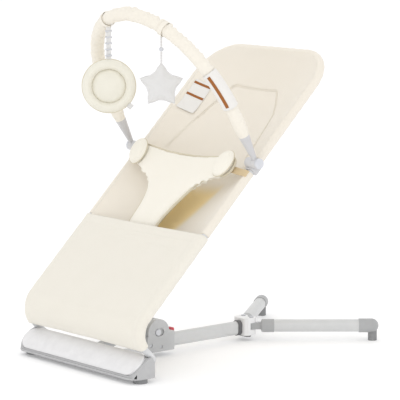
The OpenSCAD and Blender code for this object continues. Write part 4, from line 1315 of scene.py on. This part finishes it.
class BOUNCER_OT_star(bpy.types.Operator):
    """Makes the stuffed star, its cord and bead"""

    bl_idname = "bouncer.star"
    bl_label = "Star"

    def execute(self, context):
        centre = bar_point(STAR_X) - Vector((0, 0, STAR_DROP))
        right, face, up = FACE_AXES
        tip, waist = 0.0480, 0.0245
        thick = sizes().star_thickness

        def outline(angle):
            """Radius of the star with rounded points and soft waists."""
            sector = math.pi / 5
            turn = (angle - math.pi / 2) % (2 * math.pi / 5)
            t = (1 - abs(turn - sector) / sector) * sector
            x, y = waist * math.cos(sector), waist * math.sin(sector)
            straight = tip * y / (math.cos(t) * y - math.sin(t) * (x - tip))
            point, hollow = math.exp(-((t / 0.13) ** 2)), math.exp(-(((sector - t) / 0.16) ** 2))
            return straight - 0.0046 * point + 0.0030 * hollow

        def place(u, v):
            angle = 2 * math.pi * u
            side = 1 if v < 0.5 else -1
            w = 2 * v if v < 0.5 else 2 - 2 * v
            edge = outline(angle)
            r = edge * math.sin(w * math.pi / 2)
            fall = math.cos(w * math.pi / 2)
            h = thick / 2 * fall**0.9 * (0.50 + 0.50 * (1 - r / tip) ** 1.2)
            h += 0.0007 * wobble(Vector((r * math.cos(angle), r * math.sin(angle), side * 0.03)), 0.011, 9.0) * fall
            r += 0.0006 * math.sin(angle * 40) * (1 - fall) * 0.5
            return centre + r * spoke(angle) + side * h * face

        star = finish_mesh("star_pad", mapped_grid(200, 72, place, (0.25, 0.12)), FINISH["star"], "star")
        soften(star, 0.35, 1)
        puff(star, 0.0018, 4.0, 0.003)
        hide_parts("star_toy")
        seam = []
        for k in range(161):
            angle = 2 * math.pi * k / 160
            seam.append(centre + (outline(angle) - 0.0002) * spoke(angle))
        edge = finish_mesh("star_seam", cord_tube(seam, 0.0006, face, 6, 320), FINISH["ribbon"], "star")
        edge.parent = star

        loop = hanging_ring("star_loop", STAR_X, 0.010, FINISH["sleeve"], "star")
        loop.parent = star
        top = STAR_DROP - SLEEVE_R - 0.0055
        strands = empty_mesh()
        for phase in (0.0, math.pi):
            points = []
            for k in range(49):
                t = k / 48
                a = 2 * math.pi * 5 * t + phase
                twist = 0.0009 * (math.cos(a) * right + math.sin(a) * face)
                points.append(centre + Vector((0, 0, mix(tip - 0.007, top, t))) + twist)
            join_bmesh(strands, cord_tube(points, 0.0011, right, 8, 140))
        cord = finish_mesh("star_string", strands, FINISH["ribbon"], "star")
        cord.parent = star
        bead_bm = empty_mesh()
        bmesh.ops.create_uvsphere(bead_bm, u_segments=32, v_segments=20, radius=0.0045, calc_uvs=True)
        for v in bead_bm.verts:
            v.co.z *= 0.86
        bmesh.ops.translate(bead_bm, verts=bead_bm.verts, vec=centre + Vector((0, 0, STAR_DROP - 0.042)))
        bead = finish_mesh("star_bead", bead_bm, FINISH["pin_grey"], "star")
        bead.parent = star
        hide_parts("star_cord")
        return {"FINISHED"}


class BOUNCER_OT_foot_tubes(bpy.types.Operator):
    """Makes the two sprung foot bends as tubes between the seat and the lower frame"""

    bl_idname = "bouncer.foot_tubes"
    bl_label = "Foot bends"

    def execute(self, context):
        down = Matrix.Rotation(BEND_SWEEP, 3, "X") @ OFF_SLOPE
        along = Matrix.Rotation(math.pi / 2, 3, "X") @ down
        foot = BEND_CENTRE + BEND_R * down
        for label, side in (("left", -1), ("right", 1)):
            points = []
            for k in range(41):
                out = Matrix.Rotation(BEND_SWEEP * k / 40, 3, "X") @ OFF_SLOPE
                points.append(BEND_CENTRE + BEND_R * out + Vector((side * TUBE_X, 0, 0)))
            for k in range(1, 9):
                points.append(foot + along * 0.0009 * k + Vector((side * TUBE_X, 0, 0)))
            bm = cord_tube(points, TUBE_R + 0.00008, Vector((1, 0, 0)), 28, 90)
            tube = finish_mesh("foot_bend_tube_" + label, bm, FINISH["tube"], None)
            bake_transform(tube)
            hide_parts("foot_bend_" + label)
        return {"FINISHED"}


STEPS = (
    "stage", "finishes", "foot_tubes", "sling", "apron", "bib", "buttons", "care_label", "toy_bar", "round_toy", "star",
)


class BOUNCER_PT_panel(bpy.types.Panel):
    """Sidebar panel that lists the seat's pieces"""

    bl_idname = "BOUNCER_PT_panel"
    bl_label = "Bouncer Seat"
    bl_space_type = "VIEW_3D"
    bl_region_type = "UI"
    bl_category = "Bouncer Seat"

    def draw(self, context):
        layout = self.layout
        for group in (context.scene.bouncer_colours, context.scene.bouncer_sizes):
            box = layout.box()
            for key in group.bl_rna.properties.keys():
                if key not in ("rna_type", "name"):
                    box.prop(group, key)
        for step in STEPS:
            layout.operator("bouncer." + step)


CLASSES = (
    BouncerColours,
    BouncerSizes,
    BOUNCER_OT_stage,
    BOUNCER_OT_finishes,
    BOUNCER_OT_foot_tubes,
    BOUNCER_OT_sling,
    BOUNCER_OT_apron,
    BOUNCER_OT_bib,
    BOUNCER_OT_buttons,
    BOUNCER_OT_care_label,
    BOUNCER_OT_toy_bar,
    BOUNCER_OT_round_toy,
    BOUNCER_OT_star,
    BOUNCER_PT_panel,
)


def register():
    for c in CLASSES:
        bpy.utils.register_class(c)
    bpy.types.Scene.bouncer_colours = bpy.props.PointerProperty(type=BouncerColours)
    bpy.types.Scene.bouncer_sizes = bpy.props.PointerProperty(type=BouncerSizes)


def unregister():
    del bpy.types.Scene.bouncer_sizes
    del bpy.types.Scene.bouncer_colours
    for c in reversed(CLASSES):
        bpy.utils.unregister_class(c)


def main():
    register()
    for step in STEPS:
        getattr(bpy.ops.bouncer, step)()


if __name__ == "__main__":
    main()
